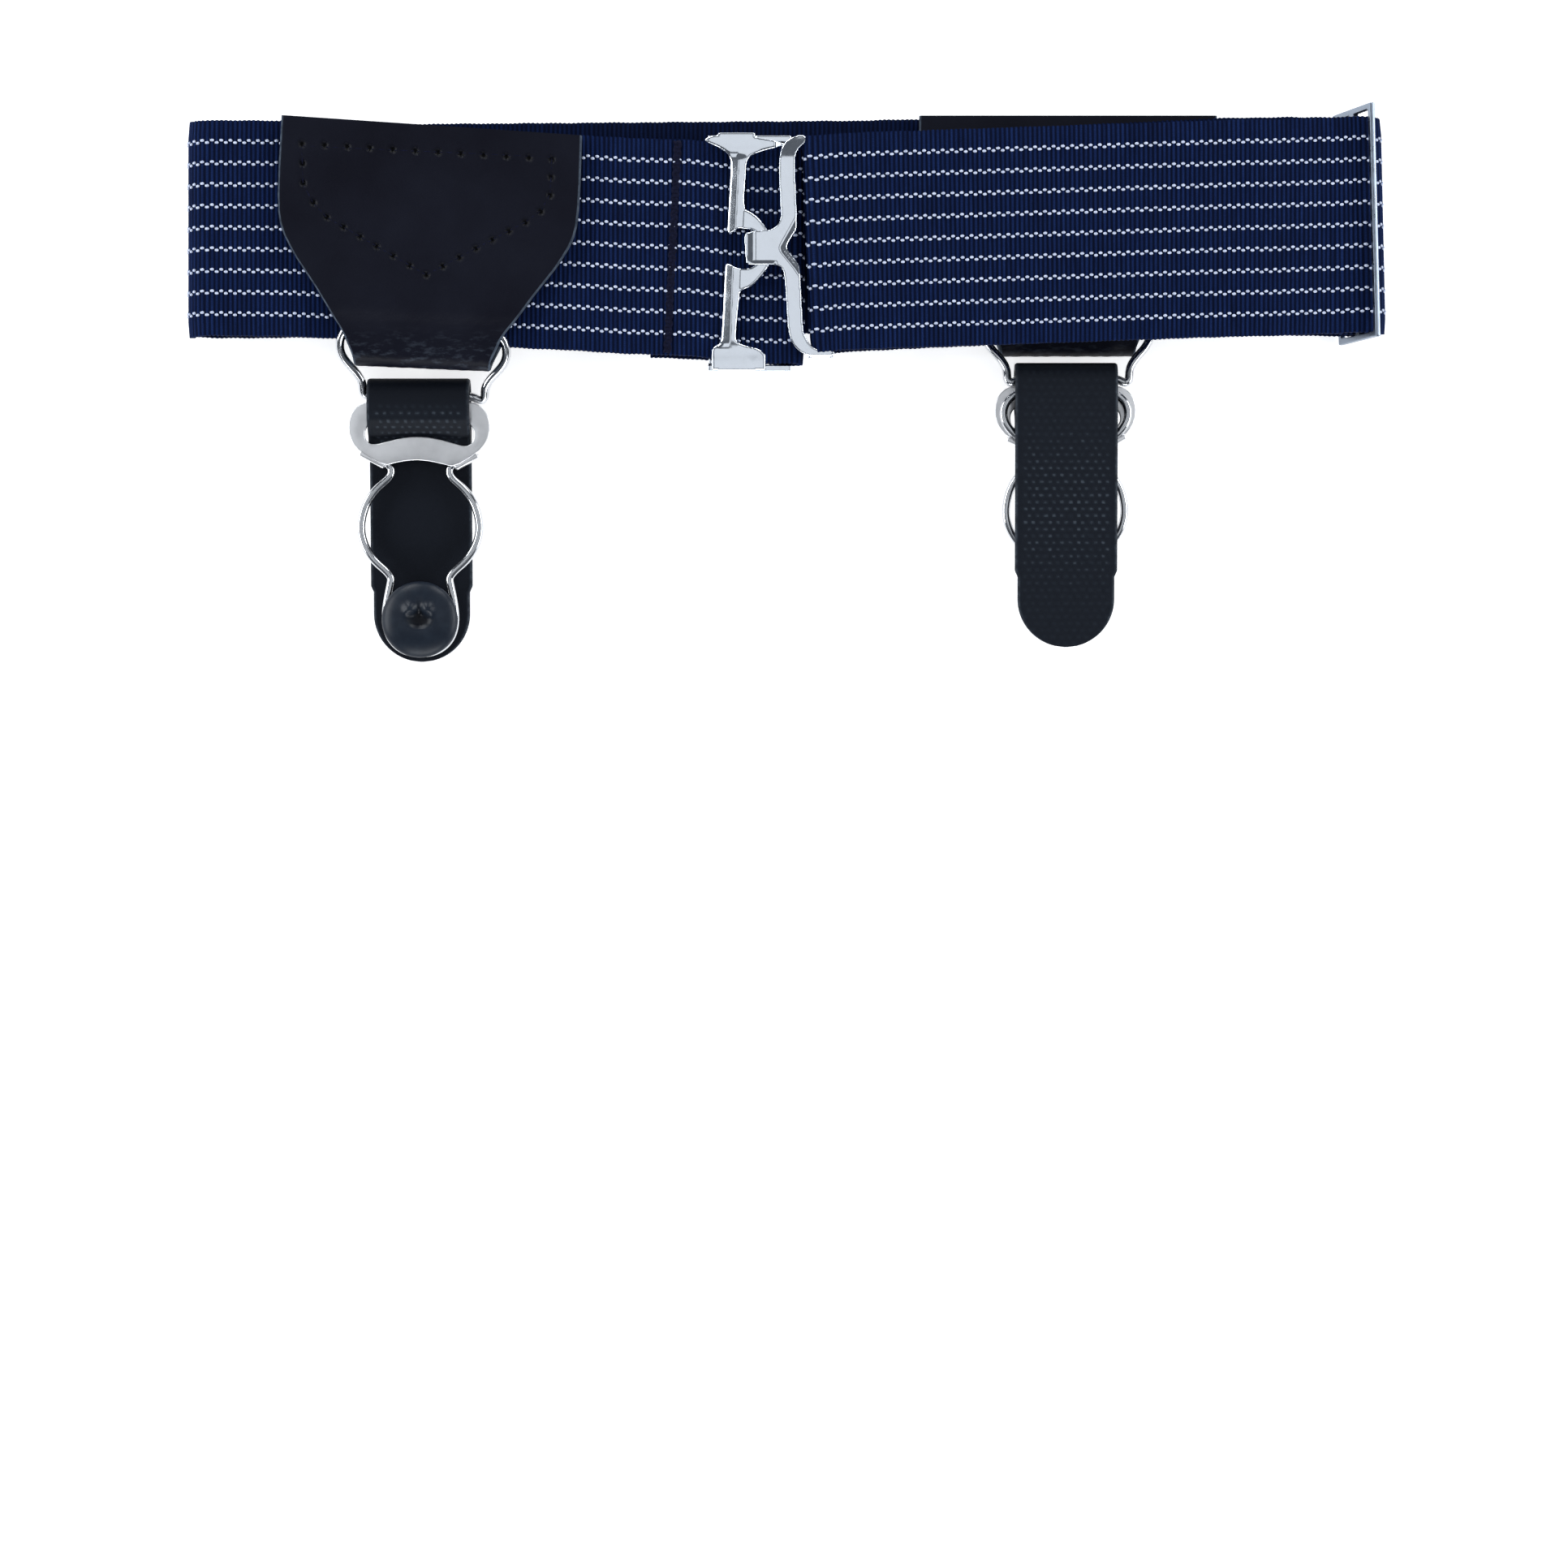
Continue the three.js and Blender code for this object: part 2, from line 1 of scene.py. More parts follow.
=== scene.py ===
# %% Load the frame
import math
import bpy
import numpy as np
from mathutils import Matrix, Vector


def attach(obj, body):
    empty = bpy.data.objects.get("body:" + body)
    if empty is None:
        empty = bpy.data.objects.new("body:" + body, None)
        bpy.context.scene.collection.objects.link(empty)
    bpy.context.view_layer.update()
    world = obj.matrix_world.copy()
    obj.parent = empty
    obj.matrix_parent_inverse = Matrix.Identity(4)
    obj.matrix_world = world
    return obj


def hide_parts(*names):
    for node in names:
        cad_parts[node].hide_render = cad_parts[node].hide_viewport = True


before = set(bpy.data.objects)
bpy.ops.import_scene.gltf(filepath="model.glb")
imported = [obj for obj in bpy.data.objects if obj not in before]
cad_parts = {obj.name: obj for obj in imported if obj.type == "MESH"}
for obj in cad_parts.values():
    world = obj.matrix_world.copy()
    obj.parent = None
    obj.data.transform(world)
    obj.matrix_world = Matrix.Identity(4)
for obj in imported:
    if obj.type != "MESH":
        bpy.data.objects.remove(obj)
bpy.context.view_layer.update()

# %% [markdown]
# The part is a sock suspender that lies flat on a table. The solids that were loaded give
# every piece its place. Each visible piece is made again here with the detail of the real
# one, and the lengths below are in millimetres because its maker would give them so. The
# scene itself is in metres, so the last step of each piece is a scale by MM.

MM = 0.001
BAND_SHIFT_Y = 0.682


def deselect():
    """Nothing is selected and no object is left in edit mode."""
    if bpy.context.object and bpy.context.object.mode != "OBJECT":
        bpy.ops.object.mode_set(mode="OBJECT")
    bpy.ops.object.select_all(action="DESELECT")


def select(piece):
    """Only this piece is selected and active."""
    deselect()
    piece.select_set(True)
    bpy.context.view_layer.objects.active = piece


def made(operator, **values):
    """Adds a primitive while nothing else is selected."""
    deselect()
    operator(**values)
    return bpy.context.object


def edit(piece, *steps):
    """Runs edit-mode operators in turn, each on the whole piece."""
    select(piece)
    bpy.ops.object.mode_set(mode="EDIT")
    for operator, values in steps:
        bpy.ops.mesh.select_all(action="SELECT")
        operator(**values)
    bpy.ops.object.mode_set(mode="OBJECT")


def modified(piece, kind, **values):
    """Adds a modifier, sets its values and applies it."""
    modifier = piece.modifiers.new(kind.lower(), kind)
    for name, value in values.items():
        setattr(modifier, name, value)
    select(piece)
    bpy.ops.object.modifier_apply(modifier=modifier.name)


def corners_of(piece):
    """The piece's vertices as an array of rows x, y, z."""
    rows = np.empty(len(piece.data.vertices) * 3)
    piece.data.vertices.foreach_get("co", rows)
    return rows.reshape(-1, 3)


def set_corners(piece, rows):
    piece.data.vertices.foreach_set("co", np.asarray(rows, float).ravel())
    piece.data.update()


def settle(piece, material, stands_for=(), smooth=35):
    """Gives a finished piece its finish, its body and the nodes that it stands for."""
    select(piece)
    bpy.ops.object.transform_apply(location=True, rotation=True, scale=True)
    if smooth:
        bpy.ops.object.shade_smooth_by_angle(angle=math.radians(smooth))
    if material:
        piece.data.materials.clear()
        piece.data.materials.append(material)
    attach(piece, "root")
    if stands_for:
        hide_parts(*stands_for)
    print(piece.name, len(piece.data.polygons), "faces")
    return piece


def join(pieces, name):
    """Joins several meshes into one piece."""
    deselect()
    for piece in pieces:
        piece.select_set(True)
    bpy.context.view_layer.objects.active = pieces[0]
    bpy.ops.object.join()
    pieces[0].name = name
    return pieces[0]


# %% [markdown]
# The photograph looks straight down, so the camera does too. The elastic is 35 mm wide and
# covers 266 of the photograph's pixels, which makes the whole frame 259 mm wide on the
# table. The camera's height follows from how far the raised front of the loop is pushed
# outwards compared with its back.

# %% Camera
FRAME_WIDTH = 259.1
CAMERA_HEIGHT = 590
CAMERA_X = -0.2
CAMERA_Y = -66 + BAND_SHIFT_Y
SENSOR = 36

camera_place = Vector((CAMERA_X, CAMERA_Y, CAMERA_HEIGHT)) * MM
bpy.ops.object.camera_add(location=camera_place, rotation=(0, 0, 0))
camera = bpy.context.object
camera.name = "camera"
camera.data.sensor_width = SENSOR
camera.data.lens = SENSOR * CAMERA_HEIGHT / FRAME_WIDTH
camera.data.clip_start = 0.01
bpy.context.scene.camera = camera
bpy.context.scene.view_settings.view_transform = "Standard"
print("lens", round(camera.data.lens, 1), "mm")

# %% [markdown]
# A product on a white table is lit by large soft boxes. Here they stand all round it and a
# row of weaker ones hangs overhead. Flat bright metal mirrors one of those, a round wire
# mirrors them all with the dark gaps between, and that is what makes plating readable.


# %% Floor and lights
def node_material(name):
    """A new material, its node tree and its shader."""
    material = bpy.data.materials.new(name)
    material.use_nodes = True
    tree = material.node_tree
    return material, tree, tree.nodes["Principled BSDF"]


def dull(shader, rough, specular):
    """Sets how rough a face is and how much light it mirrors."""
    shader.inputs["Roughness"].default_value = rough
    shader.inputs["Specular IOR Level"].default_value = specular


FLOOR = {"colour": (0.95, 0.95, 0.95, 1), "size": 4, "rough": 0.95, "specular": 0.1, "glow": 0.6}
FLOOR_Z = -0.0002
bpy.ops.mesh.primitive_plane_add(size=FLOOR["size"], location=(0, 0, FLOOR_Z))
floor = bpy.context.object
floor.name = "floor"
floor_paint, _, floor_shader = node_material("floor_paint")
floor_shader.inputs["Base Color"].default_value = FLOOR["colour"]
floor_shader.inputs["Emission Color"].default_value = (1, 1, 1, 1)
floor_shader.inputs["Emission Strength"].default_value = FLOOR["glow"]
dull(floor_shader, FLOOR["rough"], FLOOR["specular"])
floor.data.materials.append(floor_paint)

# Each lamp's name, place, size and power
LAMPS = [
    ("overhead_middle", (-0.015, 0.1, 1.1), (0.17, 0.9), 0.36),
    ("overhead_left", (-0.5, 0.1, 1.1), (0.52, 0.9), 1.1),
    ("overhead_right", (0.46, 0.1, 1.1), (0.52, 0.9), 1.1),
    ("left_box", (-0.95, 0.1, 0.38), (1.0, 0.3), 7.5),
    ("right_box", (0.95, 0.05, 0.38), (1.0, 0.3), 7.5),
    ("back_left_box", (-0.45, 0.9, 0.42), (0.5, 0.3), 4.0),
    ("back_right_box", (0.45, 0.9, 0.42), (0.5, 0.3), 4.0),
    ("front_box", (0.0, -0.95, 0.38), (1.0, 0.3), 6.5),
]
AIM = Vector((0, 0, 0.005))
LAMP_COLOUR = (0.94, 0.97, 1.0)
SKY = {"colour": (0.8, 0.88, 1.0, 1), "strength": 0.13}
for name, place, size, power in LAMPS:
    bpy.ops.object.light_add(type="AREA", location=place, rotation=(0, 0, 0))
    light = bpy.context.object
    light.name = name
    light.data.shape = "RECTANGLE"
    light.data.size, light.data.size_y = size
    light.data.energy = power
    light.data.color = LAMP_COLOUR
    if not name.startswith("overhead"):
        light.rotation_euler = (AIM - Vector(place)).to_track_quat("-Z", "Y").to_euler()

world = bpy.data.worlds.new("studio")
world.use_nodes = True
sky = world.node_tree.nodes["Background"]
sky.inputs["Color"].default_value = SKY["colour"]
sky.inputs["Strength"].default_value = SKY["strength"]
bpy.context.scene.world = world

# %% [markdown]
# The finishes come next, one short function for each. Every pattern reads the piece's own
# UV map or Object coordinates, so it stays on the piece from any side.


# %% Small helpers for the finishes
def add_node(tree, kind, **values):
    """Adds a node and sets its own values; sockets are set by their names."""
    node = tree.nodes.new(kind)
    for name, value in values.items():
        if name in node.inputs:
            node.inputs[name].default_value = value
        else:
            setattr(node, name, value)
    return node


def noise_at(tree, where, scale, detail=4, rough=0.55):
    noise = add_node(tree, "ShaderNodeTexNoise", Scale=scale, Detail=detail, Roughness=rough)
    tree.links.new(where, noise.inputs["Vector"])
    return noise.outputs["Fac"]


def object_place(tree):
    return add_node(tree, "ShaderNodeTexCoord").outputs["Object"]


def strip_place(tree):
    return add_node(tree, "ShaderNodeUVMap", uv_map="strip").outputs["UV"]


def stretch(tree, where, scale):
    node = add_node(tree, "ShaderNodeMapping", vector_type="POINT", Scale=scale)
    tree.links.new(where, node.inputs["Vector"])
    return node.outputs["Vector"]


def ramp(tree, value, stops):
    """A colour ramp from (place, colour) rows, where a colour may be one number for a grey."""
    node = add_node(tree, "ShaderNodeValToRGB")
    points = node.color_ramp.elements
    while len(points) < len(stops):
        points.new(0.5)
    for point, (place, colour) in zip(points, stops):
        point.position = place
        point.color = (colour,) * 3 + (1,) if isinstance(colour, (int, float)) else (*colour, 1)
    tree.links.new(value, node.inputs["Fac"])
    return node.outputs["Color"]


def bump(tree, shader, height, strength, distance):
    node = add_node(tree, "ShaderNodeBump", Strength=strength, Distance=distance)
    tree.links.new(height, node.inputs["Height"])
    tree.links.new(node.outputs["Normal"], shader.inputs["Normal"])


# %% [markdown]
# The elastic is navy yarn with ribs. A striped texture could draw them, but the ribs are modelled,
# so the colour follows the height that each vertex keeps: painted shade in the gaps between the ribs,
# a painted highlight on their crowns and painted shade over the whole inner face.


# %% Elastic finish
def attribute_at(tree, name):
    node = add_node(tree, "ShaderNodeAttribute", attribute_type="GEOMETRY", attribute_name=name)
    return node.outputs["Fac"]


def multiply(tree, first, second):
    node = add_node(tree, "ShaderNodeMath", operation="MULTIPLY")
    tree.links.new(first, node.inputs[0])
    tree.links.new(second, node.inputs[1])
    return node.outputs[0]


def blended(tree, share, first, second):
    """Mixes a colour with a second, plain one by a share."""
    node = add_node(tree, "ShaderNodeMix", data_type="RGBA")
    sockets = [socket for socket in node.inputs if socket.type == "RGBA"]
    tree.links.new(share, node.inputs["Factor"])
    tree.links.new(first, sockets[0])
    sockets[1].default_value = (*second, 1)
    return [socket for socket in node.outputs if socket.type == "RGBA"][0]


def elastic_finish():
    material, tree, shader = node_material("ribbed_elastic")
    uv = strip_place(tree)
    uneven = noise_at(tree, stretch(tree, uv, (1.35, 0.1, 1)), 1.0, detail=6)
    fibres = noise_at(tree, uv, 6.0, detail=5)
    # Painted shade and highlight: the kept rib height, broken up by yarn noise, picks the colour, darkest in
    # the gaps between ribs and on the inner face.
    shade = multiply(tree, attribute_at(tree, "relief"), multiply(tree, uneven, fibres))
    tint = ramp(tree, shade, [(0.0, (0.0018, 0.0032, 0.012)), (0.1, (0.0035, 0.008, 0.032)),
                              (0.26, (0.0075, 0.0185, 0.075)), (0.42, (0.013, 0.031, 0.115))])
    tree.links.new(tint, shader.inputs["Base Color"])
    bump(tree, shader, fibres, 0.6, 0.00012)
    dull(shader, 0.8, 0.03)
    return material


# %% [markdown]
# Thread and the leather's cut edge are bundles of fibres, too fine to model. One noise tints
# them and lifts them a little, and one function serves all three.


# %% Yarn finishes
def fibre_finish(name, dark, light, scale, detail, strength, rough, specular):
    material, tree, shader = node_material(name)
    fibres = noise_at(tree, object_place(tree), scale, detail=detail)
    tint = ramp(tree, fibres, [(0.3, dark), (0.7, light)])
    tree.links.new(tint, shader.inputs["Base Color"])
    bump(tree, shader, fibres, strength, 0.0001)
    dull(shader, rough, specular)
    return material


def thread_finish(name, dark, light):
    return fibre_finish(name, dark, light, 2600, 3, 0.4, 0.7, 0.08)


# %% [markdown]
# The leather is nearly black, with pores, soft clouds of dye and pale scuffs near the fold. An
# image could carry them, but noise on Object coordinates goes round the fold without a join.
# The needle holes get painted shade, a near-black colour where light hardly reaches.

# %% Leather finish
SCUFF_LOW = 3.4
SCUFF_HIGH = 9.4


def leather_finish():
    material, tree, shader = node_material("navy_leather")
    where = object_place(tree)
    clouds = noise_at(tree, where, 70)
    tint = ramp(tree, clouds, [(0.32, (0.0034, 0.0037, 0.0082)), (0.68, (0.0055, 0.0064, 0.0128))])
    marks = noise_at(tree, stretch(tree, where, (420, 1250, 420)), 1.0, detail=5, rough=0.65)
    sparse = ramp(tree, marks, [(0.51, 0), (0.68, 1)])
    height = add_node(tree, "ShaderNodeSeparateXYZ")
    tree.links.new(where, height.inputs["Vector"])
    near_fold = add_node(tree, "ShaderNodeMapRange", interpolation_type="SMOOTHSTEP")
    near_fold.inputs["From Min"].default_value = SCUFF_HIGH * MM
    near_fold.inputs["From Max"].default_value = SCUFF_LOW * MM
    tree.links.new(height.outputs["Y"], near_fold.inputs["Value"])
    scuffs = multiply(tree, sparse, near_fold.outputs["Result"])
    scuffed = blended(tree, scuffs, tint, (0.032, 0.039, 0.054))
    # Painted shade: near-black in the needle holes
    hole_painted_shade = blended(tree, attribute_at(tree, "relief"), scuffed, (0.0006, 0.0006, 0.001))
    tree.links.new(hole_painted_shade, shader.inputs["Base Color"])
    grain = add_node(tree, "ShaderNodeTexVoronoi", feature="F1", Scale=2300.0)
    tree.links.new(where, grain.inputs["Vector"])
    bump(tree, shader, multiply(tree, grain.outputs["Distance"], marks), 0.25, 0.0001)
    dull(shader, 0.5, 0.1)
    gloss = ramp(tree, clouds, [(0.3, 0.36), (0.75, 0.5)])
    tree.links.new(gloss, shader.inputs["Roughness"])
    return material


# %% [markdown]
# The strap's dark face is pressed with dashes that catch a little light. They are modelled, so the
# finish paints that light: a painted highlight on what is raised, broken up with noise, and painted
# shade on the face near the fold.


# %% Strap finish
def webbing_finish():
    material, tree, shader = node_material("dashed_strap")
    uv = strip_place(tree)
    # Painted highlight on the raised dashes and painted shade near the fold, from the kept values
    painted_dash_light = multiply(tree, attribute_at(tree, "relief"), noise_at(tree, uv, 0.9, detail=5))
    tint = ramp(tree, painted_dash_light, [(0.0, (0.0055, 0.0072, 0.0115)), (0.35, (0.011, 0.0145, 0.021)),
                               (0.62, (0.042, 0.052, 0.066))])
    tree.links.new(tint, shader.inputs["Base Color"])
    bump(tree, shader, noise_at(tree, uv, 7), 0.25, 0.0001)
    dull(shader, 0.5, 0.1)
    return material


# %% [markdown]
# Plated metal shows mostly what it mirrors, so its finish is how rough it is. The wires and
# clasp are bright, the slider is duller and the plates are satin, all from one function.


# %% Metal finishes
def plated_finish(name, colour, rough_low, rough_high, relief):
    material, tree, shader = node_material(name)
    where = object_place(tree)
    wear = noise_at(tree, where, 420, detail=6)
    gloss = ramp(tree, wear, [(0.35, rough_low), (0.75, rough_high)])
    tree.links.new(gloss, shader.inputs["Roughness"])
    tint = ramp(tree, wear, [(0.25, tuple(0.9 * c for c in colour)), (0.6, colour)])
    tree.links.new(tint, shader.inputs["Base Color"])
    bump(tree, shader, noise_at(tree, where, 260, detail=2), relief, 0.00025)
    shader.inputs["Metallic"].default_value = 1
    return material


# %% [markdown]
# Moulded rubber is satin, with a little dust that one noise can give. Light hardly reaches
# into the button's dimple, so there the relief darkens the colour.


# %% Rubber finish
def rubber_finish():
    material, tree, shader = node_material("navy_rubber")
    dust = noise_at(tree, object_place(tree), 500, detail=6)
    tint = ramp(tree, dust, [(0.4, (0.0088, 0.013, 0.0215)), (0.8, (0.014, 0.0205, 0.031))])
    dimpled = blended(tree, attribute_at(tree, "relief"), tint, (0.0022, 0.003, 0.0055))
    tree.links.new(dimpled, shader.inputs["Base Color"])
    bump(tree, shader, dust, 0.1, 0.0001)
    dull(shader, 0.34, 0.2)
    return material


ELASTIC = elastic_finish()
WHITE_THREAD = thread_finish("white_thread", (0.42, 0.47, 0.62), (0.68, 0.74, 0.9))
NAVY_THREAD = thread_finish("navy_thread", (0.0016, 0.0021, 0.009), (0.0062, 0.0078, 0.027))
LEATHER = leather_finish()
CUT_EDGE = fibre_finish("leather_edge", (0.022, 0.03, 0.045), (0.07, 0.09, 0.12), 900, 5, 0.5, 0.75, 0.1)
WEBBING = webbing_finish()
BRIGHT = plated_finish("bright_plating", (0.82, 0.86, 0.92), 0.09, 0.16, 0.05)
WIRE = plated_finish("wire_plating", (0.6, 0.61, 0.63), 0.1, 0.2, 0.03)
SLIDER_METAL = plated_finish("slider_plating", (0.25, 0.29, 0.35), 0.26, 0.36, 0.05)
SATIN = plated_finish("satin_plating", (0.86, 0.86, 0.87), 0.3, 0.4, 0.04)
RUBBER = rubber_finish()

# %% [markdown]
# The elastic is one flat strip, woven straight and folded later. It could be bent with a
# Curve modifier, but that twists a strip whose path also drifts sideways. Here it is made
# flat, with its ribs and its beads of white thread, and then every vertex is laid along the
# folded route: its length becomes the way along the route, its height the way out from it.

# %% The route of the folded elastic
BAND_WIDTH = 35
BAND_THICK = 1.4
BAND_ROUTE = [
    (70, 7.75, 0, 25.0, 0), (83, 6.6, 4, 25.4, 0), (89, 4.07, 4, 25.4, 0),
    (95.18, 4.07, 1.83, 25.2, -0.022), (95.18, 7.73, 1.83, 25.2, -0.022), (70, 9.5, 10, 24.6, 0),
    (20, 9.5, 10, 22.3, 0), (12, 8.5, 10, 22.0, 0), (4.1, 8.5, 1.4, 21.5, -0.04),
    (4.1, 11.3, 1.4, 21.5, -0.04), (9.5, 11.3, 0, 21.9, -0.02), (76, 11.3, 20, 24.1, 0),
    (88, 9.55, 12, 24.7, 0), (97.1, 9.55, 3.65, 25.0, -0.022), (97.1, 2.25, 3.65, 25.2, -0.022),
    (80, 2.3, 8, 25.4, 0), (19, 2.3, 8, 25.8, 0), (12, 0.7, 8, 25.9, 0), (-97.1, 0.7, 4.05, 25.1, 0),
    (-97.1, 8.8, 4.05, 24.5, 0), (-80, 8.8, 0, 24.35, 0), (-32, 8.8, 0, 21.95, 0),
    (-25, 8.8, 10, 21.5, 0), (-15.5, 9.1, 5, 21.2, 0), (-11, 9.1, 2, 20.6, 0), (-8.4, 8.75, 2, 20.3, 0),
    (-5.5, 9.1, 2, 20.1, 0), (2.4, 9.1, 1.4, 19.9, 0), (2.4, 6.3, 1.4, 19.9, 0), (-14, 6.3, 8, 20.9, 0),
    (-22, 7.0, 0, 21.2, 0),
]


SAME_POINT = 1e-6


def side_lengths(points):
    return np.hypot(*np.diff(points[:, :2], axis=0).T)


def rounded(rows, step=0.12):
    """Rounds corners of (across, up, radius, carried...) into arcs; gives rows and the way along."""
    points = []
    for index, (across, up, radius, *carried) in enumerate(rows):
        here = np.array([across, up], float)
        if not radius:
            points.append([across, up, *carried])
            continue
        before = np.array(rows[index - 1][:2], float) - here
        after = np.array(rows[index + 1][:2], float) - here
        before /= np.linalg.norm(before)
        after /= np.linalg.norm(after)
        half = math.acos(float(np.clip(before @ after, -1, 1))) / 2
        reach = radius / math.tan(half)
        middle = (before + after) / np.linalg.norm(before + after)
        centre = here + middle * radius / math.sin(half)
        start = here + before * reach - centre
        stop = here + after * reach - centre
        first = math.atan2(start[1], start[0])
        sweep = (math.atan2(stop[1], stop[0]) - first + math.pi) % (2 * math.pi) - math.pi
        steps = max(1, math.ceil(abs(sweep) / step))
        for number in range(steps + 1):
            angle = first + sweep * number / steps
            arc = centre + radius * np.array([math.cos(angle), math.sin(angle)])
            points.append([*arc, *carried])
    points = np.array(points)
    keep = np.concatenate([[True], side_lengths(points) > SAME_POINT])
    points = points[keep]
    return points, np.concatenate([[0], np.cumsum(side_lengths(points))])


def lay_on(piece, route, across_axis=0):
    """Lays a flat piece (x along, y across, z out of the face) on a route, in millimetres."""
    points, along = route
    rows = corners_of(piece)
    tangents = np.gradient(points[:, :2], along, axis=0)
    tangents /= np.linalg.norm(tangents, axis=1)[:, None]
    at = [np.interp(rows[:, 0], along, points[:, column]) for column in range(3)]
    normal = [np.interp(rows[:, 0], along, column) for column in (-tangents[:, 1], tangents[:, 0])]
    size = np.hypot(*normal)
    lean = np.interp(rows[:, 0], along, points[:, 3]) if points.shape[1] > 3 else 0
    flat = at[0] + normal[0] / size * rows[:, 2] + lean * rows[:, 1]
    up = at[1] + normal[1] / size * rows[:, 2]
    side = rows[:, 1] + at[2]
    placed = [flat, side, up] if across_axis == 0 else [side, flat, up]
    set_corners(piece, np.column_stack(placed))


band_route = rounded(BAND_ROUTE)
BAND_LENGTH = float(band_route[1][-1])
print("elastic strip", round(BAND_LENGTH), "mm long")


# %% A flat strip with a UV map in millimetres
def set_uv(piece, places):
    """Gives every vertex of the strip its own place on the UV map."""
    corner = np.empty(len(piece.data.loops), int)
    piece.data.loops.foreach_get("vertex_index", corner)
    piece.data.uv_layers["strip"].data.foreach_set("uv", places[corner].ravel())


def flat_strip(name, length, width, thick, along_cuts, across_cuts):
    """A grid of the strip's size, thickened, with x from 0 to its length."""
    piece = made(bpy.ops.mesh.primitive_grid_add,
                 x_subdivisions=along_cuts, y_subdivisions=across_cuts, size=1)
    piece.name = name
    rows = corners_of(piece)
    rows[:, 0] = (rows[:, 0] + 0.5) * length
    rows[:, 1] *= width
    set_corners(piece, rows)
    piece.data.uv_layers.active.name = "strip"
    set_uv(piece, rows[:, :2])
    modified(piece, "SOLIDIFY", thickness=thick, offset=0)
    return piece


def set_painted_light(piece, values):
    """Keeps a number for each vertex, which the finish reads as painted light and shade."""
    layer = piece.data.attributes.new("relief", "FLOAT", "POINT")
    layer.data.foreach_set("value", np.asarray(values, np.float32))


# %% The ribbed strip
def onto_band(piece, rows):
    """Lays what was made flat on the elastic's route, and brings it to its size and place."""
    set_corners(piece, rows)
    lay_on(piece, band_route)
    piece.location = (0, BAND_SHIFT_Y * MM, 0)
    piece.scale = (MM, MM, MM)


RIB_PITCH = 0.745
RIB_HEIGHT = 0.08
EDGE_THIN = 0.72
SAMPLES_PER_RIB = 4
SELVEDGE = 0.9
BAND_COLUMNS = 14
INNER_FACE_SHADE = 0.6

ribs = round(BAND_LENGTH / RIB_PITCH)
band = flat_strip("elastic_band_woven", BAND_LENGTH, BAND_WIDTH, BAND_THICK - 2 * RIB_HEIGHT,
                  ribs * SAMPLES_PER_RIB, BAND_COLUMNS)
rows = corners_of(band)
swell = np.cos(rows[:, 0] / RIB_PITCH * 2 * math.pi)
# The selvedge isn't quite straight: two slow waves along the strip make it wander
wander = np.sin(rows[:, 0] * 0.9) * np.sin(rows[:, 0] * 0.37 + rows[:, 1] * 0.4) * 0.05
edge = np.clip((BAND_WIDTH / 2 - np.abs(rows[:, 1])) / SELVEDGE, 0, 1)
outer = rows[:, 2] > 0
# Painted shade: the kept value is low in the gaps between ribs, high on their crowns, and lower over the
# whole inner face.
set_painted_light(band, (0.5 + 0.5 * swell) * np.where(outer, 1, INNER_FACE_SHADE))
half_thick = np.abs(rows[:, 2]) + swell * RIB_HEIGHT
rows[:, 2] = np.sign(rows[:, 2]) * half_thick * (EDGE_THIN + (1 - EDGE_THIN) * edge)
rows[:, 1] += np.sign(rows[:, 1]) * (1 - edge) * (0.06 * swell + wander)
onto_band(band, rows)
settle(band, ELASTIC, ["elastic_band"], smooth=60)

# %% [markdown]
# Each white stripe is a float of thread that surfaces once for every rib, a little to one
# side and then a little to the other, so it reads as a zigzag of small beads. One bead is
# modelled and copied by an array along one stripe, and the stripe is copied across.

# %% The white stripes
STRIPE_COUNT = 9
STRIPE_PITCH = 3.5
BEAD = {"long": 0.37, "wide": 0.26, "high": 0.2, "sunk": 0.02}
ZIGZAG = 0.19


def flat_bead(name, size, subdivisions):
    """One bead: a ball pressed to its length, width and height."""
    piece = made(bpy.ops.mesh.primitive_ico_sphere_add, subdivisions=subdivisions, radius=1)
    piece.name = name
    piece.scale = (size["long"], size["wide"], size["high"])
    bpy.ops.object.transform_apply(location=False, rotation=False, scale=True)
    return piece


def in_steps(piece, step, count):
    """Copies a piece in even steps."""
    modified(piece, "ARRAY", use_relative_offset=False, use_constant_offset=True,
             constant_offset_displace=step, count=count)


bead = flat_bead("white_stripes", BEAD, 1)
in_steps(bead, (RIB_PITCH, 0, 0), ribs - 1)
in_steps(bead, (0, STRIPE_PITCH, 0), STRIPE_COUNT)
rows = corners_of(bead)
turn = np.round(rows[:, 0] / RIB_PITCH).astype(int)
rows[:, 1] += np.where(turn % 2 == 0, ZIGZAG, -ZIGZAG) - STRIPE_PITCH * (STRIPE_COUNT - 1) / 2
rows[:, 0] += RIB_PITCH
rows[:, 2] += BAND_THICK / 2 - BEAD["sunk"]
onto_band(bead, rows)
settle(bead, WHITE_THREAD, smooth=80)

# %% [markdown]
# The strip's ends are sewn together beside the clasp, and the seam shows on the front as one
# dark row of overlapping navy stitches that hides the white beads below it. A stitch is a
# flat bead too, laid across the strip and leaning a little to the left or to the right.

# %% The seam beside the clasp
SEAM = {"x": -18.3, "slant": 0.05, "pitch": 0.66, "count": 52, "long": 0.72, "wide": 0.44, "high": 0.2,
        "lean": 0.4, "raised": 0.04}
FRONT_Z = 8.7
LEFT_OF_CLASP = -8

